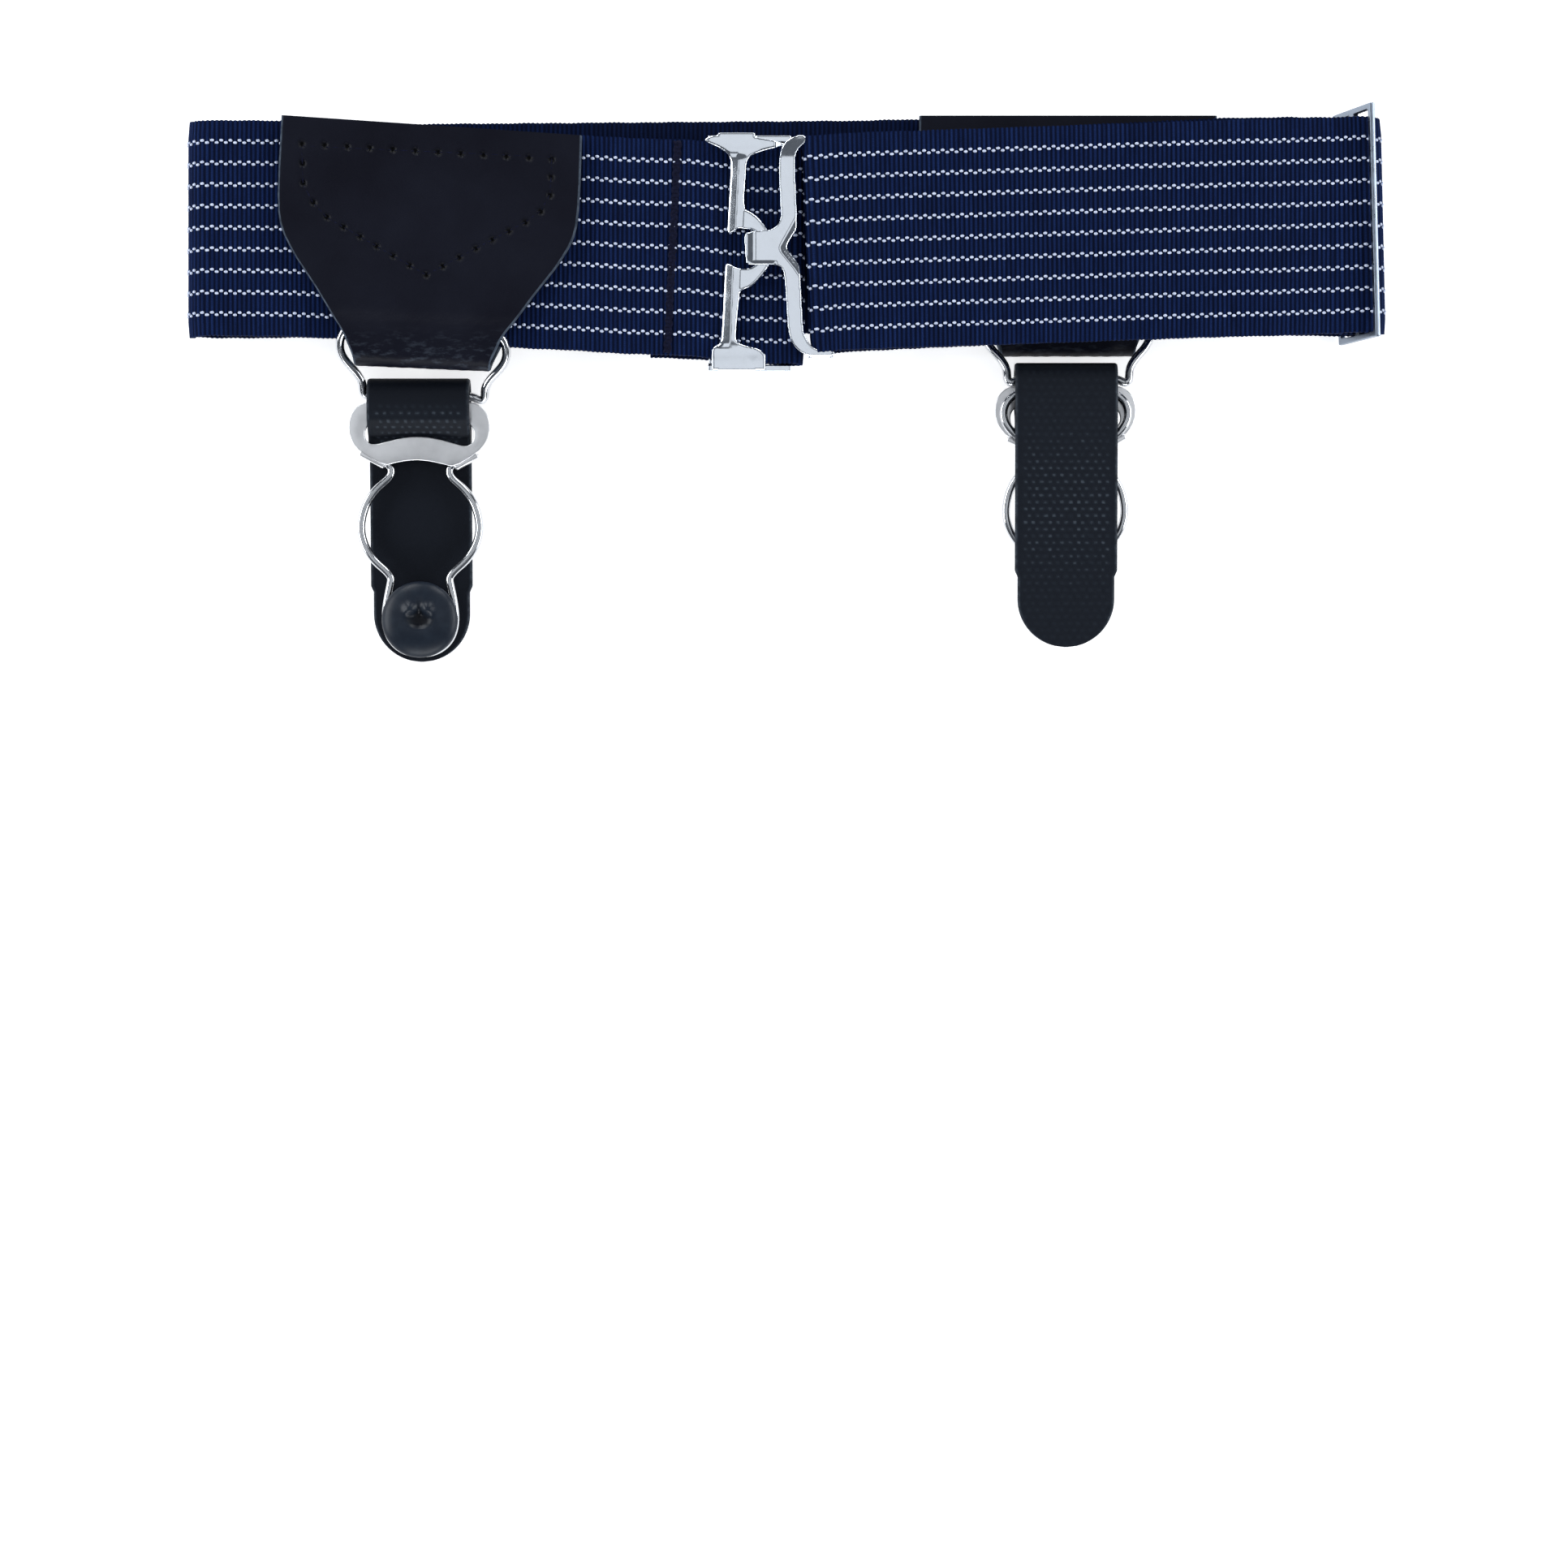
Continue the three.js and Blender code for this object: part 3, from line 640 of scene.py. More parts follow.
seam = flat_bead("seam_stitches", SEAM, 2)
in_steps(seam, (0, SEAM["pitch"], 0), SEAM["count"])
rows = corners_of(seam)
turn = np.round(rows[:, 1] / SEAM["pitch"]).astype(int)
leaning = np.where(turn % 2 == 0, SEAM["lean"], -SEAM["lean"]) * rows[:, 0]
rows[:, 1] += leaning - SEAM["pitch"] * (SEAM["count"] - 1) / 2
front = (band_route[0][:, 1] > FRONT_Z) & (band_route[0][:, 0] < LEFT_OF_CLASP)
seam_along = np.interp(SEAM["x"], band_route[0][front, 0], band_route[1][front])
rows[:, 0] += seam_along + SEAM["slant"] * rows[:, 1]
rows[:, 2] += BAND_THICK / 2 + SEAM["raised"]
onto_band(seam, rows)
settle(seam, NAVY_THREAD, smooth=80)

# %% [markdown]
# Each leather tab is one bow-tie piece of leather, folded at its waist over the ring. It is
# made as the elastic was: a flat strip whose width follows the piece's outline, then laid
# along the fold. Its cut edge is paler than its face, so the rim keeps its own finish.

# %% The leather tabs
TAB_THICK = 1.3
TAB_TOP = 18.3
TAB_BAR_Y = -18.7
TAB_FOLD = 1.65
TAB_OUTLINE = [
    (-30, 10.9), (-21, 10.9), (-19.5, 11.2), (-17.6, 12.1), (-16.2, 12.7), (-15.0, 13.4), (-13.5, 14.5),
    (-8.6, 17.75), (-5.5, 20.0), (-4.0, 21.1), (-2.2, 22.2), (-0.4, 23.2), (1.4, 23.9), (3.2, 24.25),
    (6, 24.45), (10, 24.5), (18.3, 24.4),
]
TABS = [
    {"name": "front", "at": (-58.15, 22.55 + BAND_SHIFT_Y, 8.8), "turn": -0.044, "skew": 0.0236},
    {"name": "rear", "at": (46.4, 25.3 + BAND_SHIFT_Y, 2.3), "turn": 0.0, "skew": 0.0},
]
tab_route = rounded([(TAB_TOP, TAB_FOLD, 0, 0), (TAB_BAR_Y - TAB_FOLD, TAB_FOLD, TAB_FOLD, 0),
                     (TAB_BAR_Y - TAB_FOLD, -TAB_FOLD, TAB_FOLD, 0), (TAB_TOP, -TAB_FOLD, 0, 0)])
TAB_LENGTH = float(tab_route[1][-1])
# Each corner of the seam, and the number of stitches from it to the next
STITCH_CORNERS = [
    ((0.2, -6.0), 6), ((-16.3, 2.6), 1), ((-18.6, 4.8), 1), ((-20.4, 7.8), 2), ((-20.9, 14.0), 11),
    ((19.7, 14.0), 2), ((19.7, 8.0), 1), ((18.3, 5.2), 1), ((15.9, 3.3), 6),
]
STITCH_PATH = [place for place, _ in STITCH_CORNERS + STITCH_CORNERS[:1]]
HOLE = {"reach": 0.5, "depth": 0.55, "rim": 0.09, "rim_at": 0.85, "rim_wide": 0.3,
        "dark": 1.7, "shade_reach": 0.4}
SEAM_DEPTH = 0.07
SEAM_REACH = 0.35
CREASE = {"high": 0.04, "reach": 8}
CUT_EDGE_WIDTH = 0.3
CUT_EDGE_THIN = 0.72
RING_SWELL = {"rise": 3.6, "high": 1.1, "reach": 2.8}
RIM = 0.999
AT_END = 1e-4


def stitch_holes():
    """Needle holes, evenly spread between one corner of the seam and the next."""
    holes = []
    for (first, count), last in zip(STITCH_CORNERS, STITCH_PATH[1:]):
        for number in range(count):
            holes.append(tuple(Vector(first).lerp(Vector(last), number / count)))
    return holes


def hump(distance, reach):
    """1 where the distance is 0, and fading to 0 beyond the reach."""
    return np.exp(-(distance / reach) ** 2)


def distance_to_path(points, corners):
    """How far each point is from a path of straight sides."""
    best = np.full(len(points), 1e9)
    for first, last in zip(corners, corners[1:]):
        start, side = np.array(first, float), np.array(last, float) - np.array(first, float)
        share = np.clip((points - start) @ side / (side @ side), 0, 1)
        best = np.minimum(best, np.linalg.norm(points - start - share[:, None] * side, axis=1))
    return best


def tab_half_width(y):
    return np.interp(y, [row[0] for row in TAB_OUTLINE], [row[1] for row in TAB_OUTLINE])


def leather_tab(row):
    piece = flat_strip(f"{row['name']}_tab_leather", TAB_LENGTH, 2, TAB_THICK, 210, 140)
    shape = corners_of(piece)
    y_at = np.interp(shape[:, 0], tab_route[1], tab_route[0][:, 0])
    half = tab_half_width(y_at)
    across = shape[:, 1].copy()
    rim = np.abs(across) > RIM
    beside = (np.abs(across) > 0.98) & ~rim
    across[beside] = np.sign(across[beside]) * (1 - CUT_EDGE_WIDTH / half[beside])
    shape[:, 1] = across * half
    outer = shape[:, 2] < 0
    face_side = np.sign(shape[:, 2])
    plan = np.column_stack([shape[:, 1], y_at])
    holes = np.array(stitch_holes())
    nearest = np.sqrt(((plan[:, None, :] - holes[None]) ** 2).sum(axis=2)).min(axis=1)
    pit = HOLE["depth"] * hump(nearest, HOLE["reach"])
    pit -= HOLE["rim"] * hump(nearest - HOLE["rim_at"], HOLE["rim_wide"])
    groove = SEAM_DEPTH * hump(distance_to_path(plan, STITCH_PATH), SEAM_REACH)
    near_fold = np.clip(1 - (y_at - TAB_BAR_Y) / CREASE["reach"], 0, 1)
    # Painted shade: each needle hole is darkened where light hardly reaches
    set_painted_light(piece, np.clip(HOLE["dark"] * hump(nearest, HOLE["shade_reach"]), 0, 1))
    # Two crossed waves, one of them bent, give creases that don't repeat
    ripple = np.sin(shape[:, 0] * 3.1 + 2 * np.sin(shape[:, 1] * 0.7))
    ripple *= np.sin(shape[:, 1] * 1.9 + shape[:, 0])
    shape[:, 2] += np.where(outer, pit + groove, 0)
    shape[:, 2] -= face_side * CREASE["high"] * near_fold * (1 - ripple)
    shape[rim, 2] *= CUT_EDGE_THIN
    set_corners(piece, shape)
    piece.data.materials.append(LEATHER)
    piece.data.materials.append(CUT_EDGE)
    for face in piece.data.polygons:
        own = list(face.vertices)
        at_end = shape[own, 0].max() < AT_END or shape[own, 0].min() > TAB_LENGTH - AT_END
        face.material_index = 1 if rim[own].any() or at_end else 0
    lay_on(piece, tab_route, across_axis=1)
    shape = corners_of(piece)
    shape[:, 1] -= row["skew"] * shape[:, 0] * np.clip(shape[:, 1] / TAB_TOP, 0, 1)
    swell = RING_SWELL["high"] * hump(shape[:, 1] - TAB_BAR_Y - RING_SWELL["rise"], RING_SWELL["reach"])
    shape[:, 2] += np.where(shape[:, 2] > 0, swell, 0)
    set_corners(piece, shape)
    piece.matrix_world = tab_place(row)
    settle(piece, None, [f"{row['name']}_tab"], smooth=60)
    return piece


def tab_place(row):
    spot = Matrix.Translation(Vector(row["at"]) * MM)
    return spot @ Matrix.Rotation(row["turn"], 4, "Z") @ Matrix.Scale(MM, 4)


for tab in TABS:
    tab["leather"] = leather_tab(tab)

# %% [markdown]
# The stitching that closes a tab runs along its top, down both sides and to a point above
# the ring. The needle holes are already pressed into the leather; the thread is one short
# sunken float between two holes, modelled once and copied to every place on both wings.

# %% The tab stitching
THREAD = {"wide": 0.13, "high": 0.1, "share": 0.47}
THREAD_Z = TAB_FOLD + TAB_THICK / 2 - SEAM_DEPTH - THREAD["high"] * 0.6


def thread_floats(row):
    holes = stitch_holes()
    first = made(bpy.ops.mesh.primitive_uv_sphere_add, segments=10, ring_count=8, radius=1)
    floats = []
    for start, stop in zip(holes, holes[1:] + holes[:1]):
        for wing in (1, -1):
            span = Vector(stop) - Vector(start)
            middle = (Vector(stop) + Vector(start)) / 2
            select(first)
            bpy.ops.object.duplicate()
            thread = bpy.context.object
            thread.scale = (span.length * THREAD["share"], THREAD["wide"], THREAD["high"])
            thread.rotation_euler = (0, 0, math.atan2(span.y, span.x))
            thread.location = (middle.x, middle.y, wing * THREAD_Z)
            floats.append(thread)
    select(first)
    bpy.ops.object.delete()
    for thread in floats:
        select(thread)
        bpy.ops.object.transform_apply(location=True, rotation=True, scale=True)
    piece = join(floats, f"{row['name']}_tab_stitches")
    piece.matrix_world = tab_place(row)
    return settle(piece, NAVY_THREAD, smooth=60)


for tab in TABS:
    thread_floats(tab)

# %% [markdown]
# Rings and garter wires are bent from round wire. A curve with a round bevel is the shortest
# way to a smooth tube, and its points are the bends that a wire former would set. The ends
# meet inside the fold that hides them.


# %% Wires
def wire(name, points, diameter, place, stands_for):
    """A smooth tube through the points, closed at both ends."""
    piece = made(bpy.ops.curve.primitive_nurbs_path_add)
    piece.name = name
    spline = piece.data.splines[0]
    spline.points.add(len(points) - len(spline.points))
    for knot, point in zip(spline.points, points):
        knot.co = (*point, 1)
    spline.order_u = 4
    spline.use_endpoint_u = True
    spline.resolution_u = 6
    piece.data.bevel_depth = diameter / 2
    piece.data.bevel_resolution = 5
    piece.data.use_fill_caps = True
    bpy.ops.object.convert(target="MESH")
    piece.matrix_world = place
    return settle(piece, WIRE, [stands_for], smooth=60)


RING_WIRE = 1.4
RING_HEIGHT = 11.0
RING_HALF = [
    (0.15, 0), (6, 0), (11.2, 0), (12.4, -0.1), (13.0, -0.6), (13.4, -1.4), (13.6, -2.6), (13.55, -3.8),
    (13.1, -5.0), (12.3, -6.1), (11.3, -7.2), (10.5, -8.3), (10.1, -9.2), (10.0, -10.1), (10.0, -11.0),
    (9.6, -11.6), (8.9, -11.5), (8.2, -11.05), (7.2, -11), (4, -11),
]
CLIP_TILT = 0.052
CLIP_BAR_Z = 2.65
CLIPS = [
    {"name": "front", "x": -59.9, "ring_x": -58.8, "hang": 6.07, "spin": 0.0,
     "foot_reach": 43.8, "foot_depth": 2.65, "lean": -0.1, "lift": 0.3, "ring_up": 1.7},
    {"name": "rear", "x": 45.9, "ring_x": 46.3, "hang": 6.35, "spin": math.pi,
     "foot_reach": 39.0, "foot_depth": 3.65, "lean": 0.0, "lift": 0.5, "ring_up": 1.32},
]


def both_halves(half, middle):
    """The route of a wire whose left half mirrors its right one."""
    return half + [middle] + [(-x, y, z) for x, y, z in reversed(half)]


ring_route = both_halves([(x, y, 0) for x, y in RING_HALF], (0, -RING_HEIGHT, 0))


def clip_frames(clip, tab):
    """Where the ring and the clip sit: the ring spans from inside the tab down to the clip's bar."""
    fold = Vector(tab["at"]) + Matrix.Rotation(tab["turn"], 3, "Z") @ Vector((0, TAB_BAR_Y, 0))
    bar_y = fold.y - clip["hang"]
    bar_z = clip["foot_depth"] * math.cos(CLIP_TILT) + clip["foot_reach"] * math.sin(CLIP_TILT)
    drop = bar_z - fold.z - clip["ring_up"]
    run_y = math.sqrt(RING_HEIGHT ** 2 - drop ** 2)
    scale = Matrix.Scale(MM, 4)
    ring_top = Vector((clip["ring_x"], bar_y + run_y, fold.z + clip["ring_up"]))
    ring = (Matrix.Translation(ring_top * MM) @ Matrix.Rotation(tab["turn"], 4, "Z")
            @ Matrix.Rotation(math.atan2(-drop, run_y), 4, "X") @ scale)
    spot = Matrix.Translation(Vector((clip["x"], bar_y, bar_z)) * MM)
    body = (spot @ Matrix.Rotation(CLIP_TILT, 4, "X") @ Matrix.Rotation(clip["spin"], 4, "Y")
            @ scale @ Matrix.Translation((0, 0, -CLIP_BAR_Z)))
    return ring, body


WIRE_DIAMETER = 1.35
WIRE_Z = 2.11
# Each bend of the wire's right half: x, y and how far it stands above WIRE_Z
WIRE_HALF = [
    (0.2, -1.9, 0), (3.0, -1.9, 0), (5.6, -2.0, 0), (8.2, -2.8, 0), (9.9, -4.2, 0), (10.4, -6.2, 0),
    (9.7, -8.2, 0), (8.2, -9.8, 0), (6.2, -11.0, 0), (4.9, -12.0, 0), (4.65, -12.9, 0), (5.1, -14.0, 0.1),
    (7.1, -15.5, 0.2), (8.9, -17.9, 0.4), (9.65, -20.6, 0.5), (9.8, -22.6, 0.6), (9.2, -25.1, 0.8),
    (7.5, -27.6, 0.94), (5.6, -29.1, 0.94), (4.95, -30.0, 0.94), (4.8, -30.4, 0.94), (4.8, -30.8, 0.94),
    (5.1, -32.2, 0.94), (5.45, -34.0, 0.94), (5.7, -35.8, 0.94), (5.75, -37.4, 0.94), (5.45, -39.2, 0.94),
    (4.6, -40.8, 0.94), (3.2, -42.0, 0.94), (1.5, -42.6, 0.94),
]
LOOP_FOOT = (0, -42.7, WIRE_Z + WIRE_HALF[-1][2])
garter_route = both_halves([(x, y, WIRE_Z + rise) for x, y, rise in WIRE_HALF], LOOP_FOOT)


def slid_up(clip):
    """The frame of the clip's metal and button, which sit a little way up the strap."""
    return clip["body"] @ Matrix.Translation((0, clip["lift"], 0))


for clip, tab in zip(CLIPS, TABS):
    ring_at, clip["body"] = clip_frames(clip, tab)
    wire(f"{clip['name']}_ring_wire", ring_route, RING_WIRE, ring_at, f"{clip['name']}_ring")
    wire(f"{clip['name']}_garter_wire", garter_route, WIRE_DIAMETER, slid_up(clip), f"{clip['name']}_wire")

# %% [markdown]
# The clip strap is folded over the ring's lower bar. Its short flap goes over the plate's
# upper bar and down through the slot, and its long tail ends in a half circle behind the
# button. It is again a flat strip, cut to width and laid on its route.

# %% Clip straps
STRAP_WIDTH = 16.7
STRAP_THICK = 1.2
STRAP_END_Y = -43.8
STRAP_FOLD = 2.05
STRAP_LOW = CLIP_BAR_Z - STRAP_FOLD
STRAP_HIGH = CLIP_BAR_Z + STRAP_FOLD
STRAP_TUCKED = 2.15
STRAP_NARROW = {"half": 7.9, "from_end": 11.5, "over": 1.0}
STRAP_TIP_HALF = 0.25
STRAP_RIM = {"thin": 0.66, "shade": 0.85}
DASHES_START = 3.2
DASH = {"row": 1.1, "pitch": 1.35, "high": 0.06, "plain": 2.5, "margin": 1.1, "worn": 0.75,
        "clear": 26, "spread": 12}
FACE_SHADE = 0.22


def dash_relief(along, across, from_fold):
    """0 to 1: dashes in staggered rows, worn at the tail's ends, with a plain margin and fold."""
    row = np.floor(along / DASH["row"])
    shift = np.where(row % 2 == 0, 0.0, 0.5) * DASH["pitch"]
    lengthwise = np.clip(np.cos(2 * math.pi * (across + shift) / DASH["pitch"]) + 0.5, 0, 1)
    crosswise = np.clip(np.sin(math.pi * (along / DASH["row"] - row)) * 2 - 1, 0, 1)
    inside = np.clip((STRAP_WIDTH / 2 - np.abs(across) - DASH["margin"]) / 0.4, 0, 1)
    worn = DASH["worn"] * (from_fold < 0) * (1 - hump(from_fold + DASH["clear"], DASH["spread"]))
    past_fold = np.clip((np.abs(from_fold) - DASH["plain"]) / 1.5, 0, 1)
    return (1 - worn) * lengthwise * crosswise * inside * past_fold


def strap_path(clip):
    """The strap's side view from its round end, over the ring's bar and down through the slot."""
    lift, lean = clip["lift"], clip["lean"]
    return rounded([
        (STRAP_END_Y, STRAP_LOW, 0, 0), (-30, STRAP_LOW, 0, 0), (STRAP_FOLD, STRAP_LOW, STRAP_FOLD, lean),
        (STRAP_FOLD, STRAP_HIGH, STRAP_FOLD, lean), (-4.2 + lift, STRAP_HIGH, 1.2, lean),
        (-7.2 + lift, STRAP_TUCKED, 1, lean), (-8.6 + lift, STRAP_TUCKED, 0, lean)])


def clip_strap(clip):
    route = strap_path(clip)
    piece = flat_strip(f"{clip['name']}_strap_woven", float(route[1][-1]), 2, STRAP_THICK, 300, 54)
    shape = corners_of(piece)
    from_end = shape[:, 0]
    tip = STRAP_NARROW["half"]
    step = np.clip((from_end - STRAP_NARROW["from_end"]) / STRAP_NARROW["over"], 0, 1)
    round_end = np.sqrt(np.clip(tip ** 2 - np.clip(tip - from_end, 0, tip) ** 2, 0, None))
    across = shape[:, 1].copy()
    shape[:, 1] *= np.maximum(round_end + (STRAP_WIDTH / 2 - tip) * step, STRAP_TIP_HALF)
    outer = shape[:, 2] < 0
    from_fold = from_end - (STRAP_FOLD - STRAP_END_Y) - DASHES_START
    # Painted light: raised dashes are lightened, the outer face is painted dark near the fold and lighter
    # away from it, the rim and the band beside it get one lighter tone and the inner face the darkest. The
    # same numbers, without the rim's tone, also set how far the outer face stands out.
    relief = dash_relief(from_end, shape[:, 1], from_fold)
    relief += FACE_SHADE * np.clip(np.abs(from_fold) / 3 - 0.5, 0, 1)
    relief = np.where(outer, np.clip(relief, 0, 1), 0)
    rim = (np.abs(across) > RIM) | (from_end < AT_END)
    beside = (np.abs(across) > 0.96) & ~rim
    set_painted_light(piece, np.where(rim | beside, STRAP_RIM["shade"], relief))
    shape[:, 2] -= np.where(outer, relief * DASH["high"], 0)
    shape[rim, 2] *= STRAP_RIM["thin"]
    set_corners(piece, shape)
    set_uv(piece, shape[:, [1, 0]])
    lay_on(piece, route, across_axis=1)
    piece.matrix_world = clip["body"]
    return settle(piece, WEBBING, [f"{clip['name']}_strap"], smooth=60)


for clip in CLIPS:
    strap = clip_strap(clip)
    strap_length = float(strap_path(clip)[1][-1])
    print(strap.name, "is", round(strap_length), "mm long, laid flat")


# %% [markdown]
# The clasp's halves are stamped from sheet, then tumbled and plated, so no edge is sharp. Each
# starts as a ring of vertices in the shape of its outline, filled and extruded, with bars for
# its arms. A voxel remesh gives it even small faces, smoothing rounds the edges as tumbling
# does, and the bends are then pressed in by moving those faces past a line.


# %% Tools for stamped sheet
SHEET = 0.8
CLASP_VOXEL = 0.15


def soften_outline(corners, rounds=2):
    """Corner cutting: each round replaces a corner with two nearer ones."""
    points = np.array(corners, float)
    for _ in range(rounds):
        following = np.roll(points, -1, axis=0)
        nearer = 0.75 * points + 0.25 * following
        points = np.stack([nearer, 0.25 * points + 0.75 * following], axis=1).reshape(-1, 2)
    return points


def blank(name, outlines, foot, thick):
    """A flat solid with the first outline as its rim and the others as holes."""
    rings = []
    for outline in outlines:
        rings.append(made(bpy.ops.mesh.primitive_circle_add, vertices=len(outline), radius=1))
        set_corners(rings[-1], [(x, y, foot) for x, y in outline])
    piece = join(rings, name)
    edit(piece, (bpy.ops.mesh.fill, {"use_beauty": True}),
         (bpy.ops.mesh.extrude_region_move, {"TRANSFORM_OT_translate": {"value": (0, 0, thick)}}),
         (bpy.ops.mesh.normals_make_consistent, {"inside": False}))
    return piece


def bar(low, high):
    """A straight bar between two opposite corners."""
    centre = [(a + b) / 2 for a, b in zip(low, high)]
    piece = made(bpy.ops.mesh.primitive_cube_add, size=1, location=centre)
    piece.scale = [b - a for a, b in zip(low, high)]
    bpy.ops.object.transform_apply(location=True, rotation=True, scale=True)
    return piece


def tumble(piece, voxel, rounds):
    """Merges what overlaps into one skin of small faces and rounds its edges."""
    modified(piece, "REMESH", mode="VOXEL", voxel_size=voxel)
    modified(piece, "SMOOTH", factor=0.5, iterations=rounds)
    return corners_of(piece)


def ease(value):
    """0 below zero, 1 above one and smooth between."""
    value = np.clip(value, 0, 1)
    return value * value * (3 - 2 * value)


def stamped_half(name, outline, foot, bars):
    """The outline and the bars, each from low to high corner, in one tumbled skin."""
    parts = [blank(name, [soften_outline(outline)], foot, SHEET)]
    piece = join(parts + [bar(low, high) for low, high in bars], name)
    return piece, tumble(piece, CLASP_VOXEL, 5)


def settle_half(piece, rows, node):
    set_corners(piece, rows)
    piece.scale = (MM, MM, MM)
    settle(piece, BRIGHT, [node], smooth=80)


# %% Clasp: the half with the eye
EYE_OUTLINE = [
    (-13.3, 39.0), (-12.6, 39.6), (-11.3, 39.9), (-6, 39.75), (-2.5, 39.2), (0.3, 38.6), (0.2, 38.2),
    (-2.4, 37.7), (-4.5, 37.1), (-5.6, 36.6), (-6.3, 35.6), (-6.35, 34), (-6.8, 27.9), (-5.6, 27.5),
    (-4.3, 26.5), (-3.0, 24.9), (-1.9, 22.8), (-1.9, 20.4), (-2.8, 18.4), (-4.3, 16.5), (-5.6, 15.3),
    (-7.3, 14.75), (-7.45, 13.6), (-8.05, 7.6), (-7.9, 6.4), (-6.6, 5.8), (-4.2, 5.3), (-3.3, 4.5),
    (-3.1, 3.0), (-11.9, 3.0), (-12.0, 4.9), (-11.6, 5.7), (-10.6, 6.3), (-10.4, 7.6), (-9.9, 17.4),
    (-9.8, 19.3), (-9.1, 19.1), (-7.8, 18.3), (-5.8, 18.2), (-4.2, 19.4), (-3.6, 21.4), (-4.1, 23.4),
    (-5.3, 24.6), (-6.6, 24.7), (-7.6, 24.9), (-8.9, 24.0), (-9.5, 24.2), (-9.45, 25.4), (-8.9, 34.8),
    (-9.0, 36.4), (-9.7, 37.3), (-11.4, 38.2),
]
EYE_FOOT = 10.1
EYE_LEFT = -12.6
EYE_RIGHT = 1.0
EYE_TOP = 39.6 + BAND_SHIFT_Y
EYE_BOTTOM = 1.2 + BAND_SHIFT_Y
EYE_BAR_Z = 7.3
ARM = 1.1
EYE_PRESS = {"crown": 0.32, "left": 0.95, "left_over": 1.9, "right": 0.16, "right_over": 1.3,
             "wing": 0.3, "base": 0.5, "tip": 0.7}

eye_bars = []
for low, high in ((EYE_TOP - ARM, EYE_TOP), (EYE_BOTTOM, EYE_BOTTOM + ARM)):
    eye_bars.append(((EYE_LEFT, low, EYE_BAR_Z), (EYE_RIGHT, high, EYE_BAR_Z + 1.3)))
    eye_bars.append(((-10.9, low, EYE_BAR_Z), (-4.9, high, EYE_FOOT + SHEET)))
for from_x, to_x in ((EYE_LEFT + 0.1, EYE_LEFT + 2), (EYE_RIGHT - 2.4, EYE_RIGHT - 0.1)):
    eye_bars.append(((from_x, EYE_BOTTOM + 0.1, EYE_BAR_Z), (to_x, EYE_TOP - 0.1, EYE_BAR_Z + SHEET)))
eye_bars.append(((-11.9, EYE_BOTTOM + 0.1, EYE_FOOT - 0.3), (-3.2, EYE_BOTTOM + 2.6, EYE_FOOT + SHEET)))
eye, rows = stamped_half("clasp_eye_plated", EYE_OUTLINE, EYE_FOOT, eye_bars)
in_front = ease((rows[:, 2] - EYE_FOOT + 0.5) / 0.4)
on_posts = ease((rows[:, 1] - 5) / 2) * ease((37.5 - rows[:, 1]) / 2)
# The posts' ridge: its x at four heights, with a steep facet to its left and a flat one to its right
ridge = np.interp(rows[:, 1], [5, 18, 25, 37], [-9.0, -8.55, -8.1, -7.55])
facets = EYE_PRESS["left"] * np.clip((ridge - rows[:, 0]) / EYE_PRESS["left_over"], 0, 1)
facets += EYE_PRESS["right"] * np.clip((rows[:, 0] - ridge) / EYE_PRESS["right_over"], 0, 1)
rows[:, 2] += in_front * on_posts * (EYE_PRESS["crown"] - facets)
rows[:, 2] += in_front * EYE_PRESS["wing"] * ease((rows[:, 1] - 36.9) / 1.9)
rows[:, 2] -= in_front * EYE_PRESS["base"] * ease((5.8 - rows[:, 1]) / 3.7)
# The wing's tip dips so that the hook's top arm passes over it
rows[:, 2] -= in_front * EYE_PRESS["tip"] * ease((rows[:, 0] + 1.8) / 1.4)
settle_half(eye, rows, "clasp_eye")

# %% Clasp: the half with the hook
HOOK_OUTLINE = [
    (3.4, 39.75), (2.3, 39.85), (1.0, 39.55), (-0.1, 38.7), (-0.7, 37.6), (-1.0, 35.6), (-1.05, 34.0),
    (-0.7, 27.4), (-0.75, 26.2), (-1.3, 25.1), (-2.3, 24.5), (-3.6, 24.3), (-6.3, 24.1), (-6.7, 23.6),
    (-6.4, 19.2), (-6.1, 18.8), (-2.6, 18.85), (-1.3, 18.75), (-0.5, 18.2), (-0.1, 17.0), (0.3, 10.6),
    (0.45, 8.2), (1.0, 6.2), (2.2, 4.8), (3.8, 4.1), (6.5, 4.1), (8.0, 4.2), (8.0, 5.0), (6.4, 4.95),
    (4.9, 5.1), (3.8, 6.1), (3.05, 7.6), (2.85, 8.6), (2.4, 17.8), (2.3, 18.9), (1.6, 19.8), (0.35, 21.3),
    (0.25, 21.9), (1.0, 23.3), (1.95, 24.7), (1.9, 26.0), (1.5, 35.6), (1.7, 36.8), (2.3, 37.9), (3.4, 38.8),
]
HOOK_FOOT = 11.05
HOOK_BAR_Z = 9.5
HOOK_RIGHT = 6.7
HOOK_TOP = 39.2 + BAND_SHIFT_Y
HOOK_BOTTOM = 2.9 + BAND_SHIFT_Y
HOOK_LINK = HOOK_FOOT + 0.4
BAR_TOP = HOOK_BAR_Z + SHEET
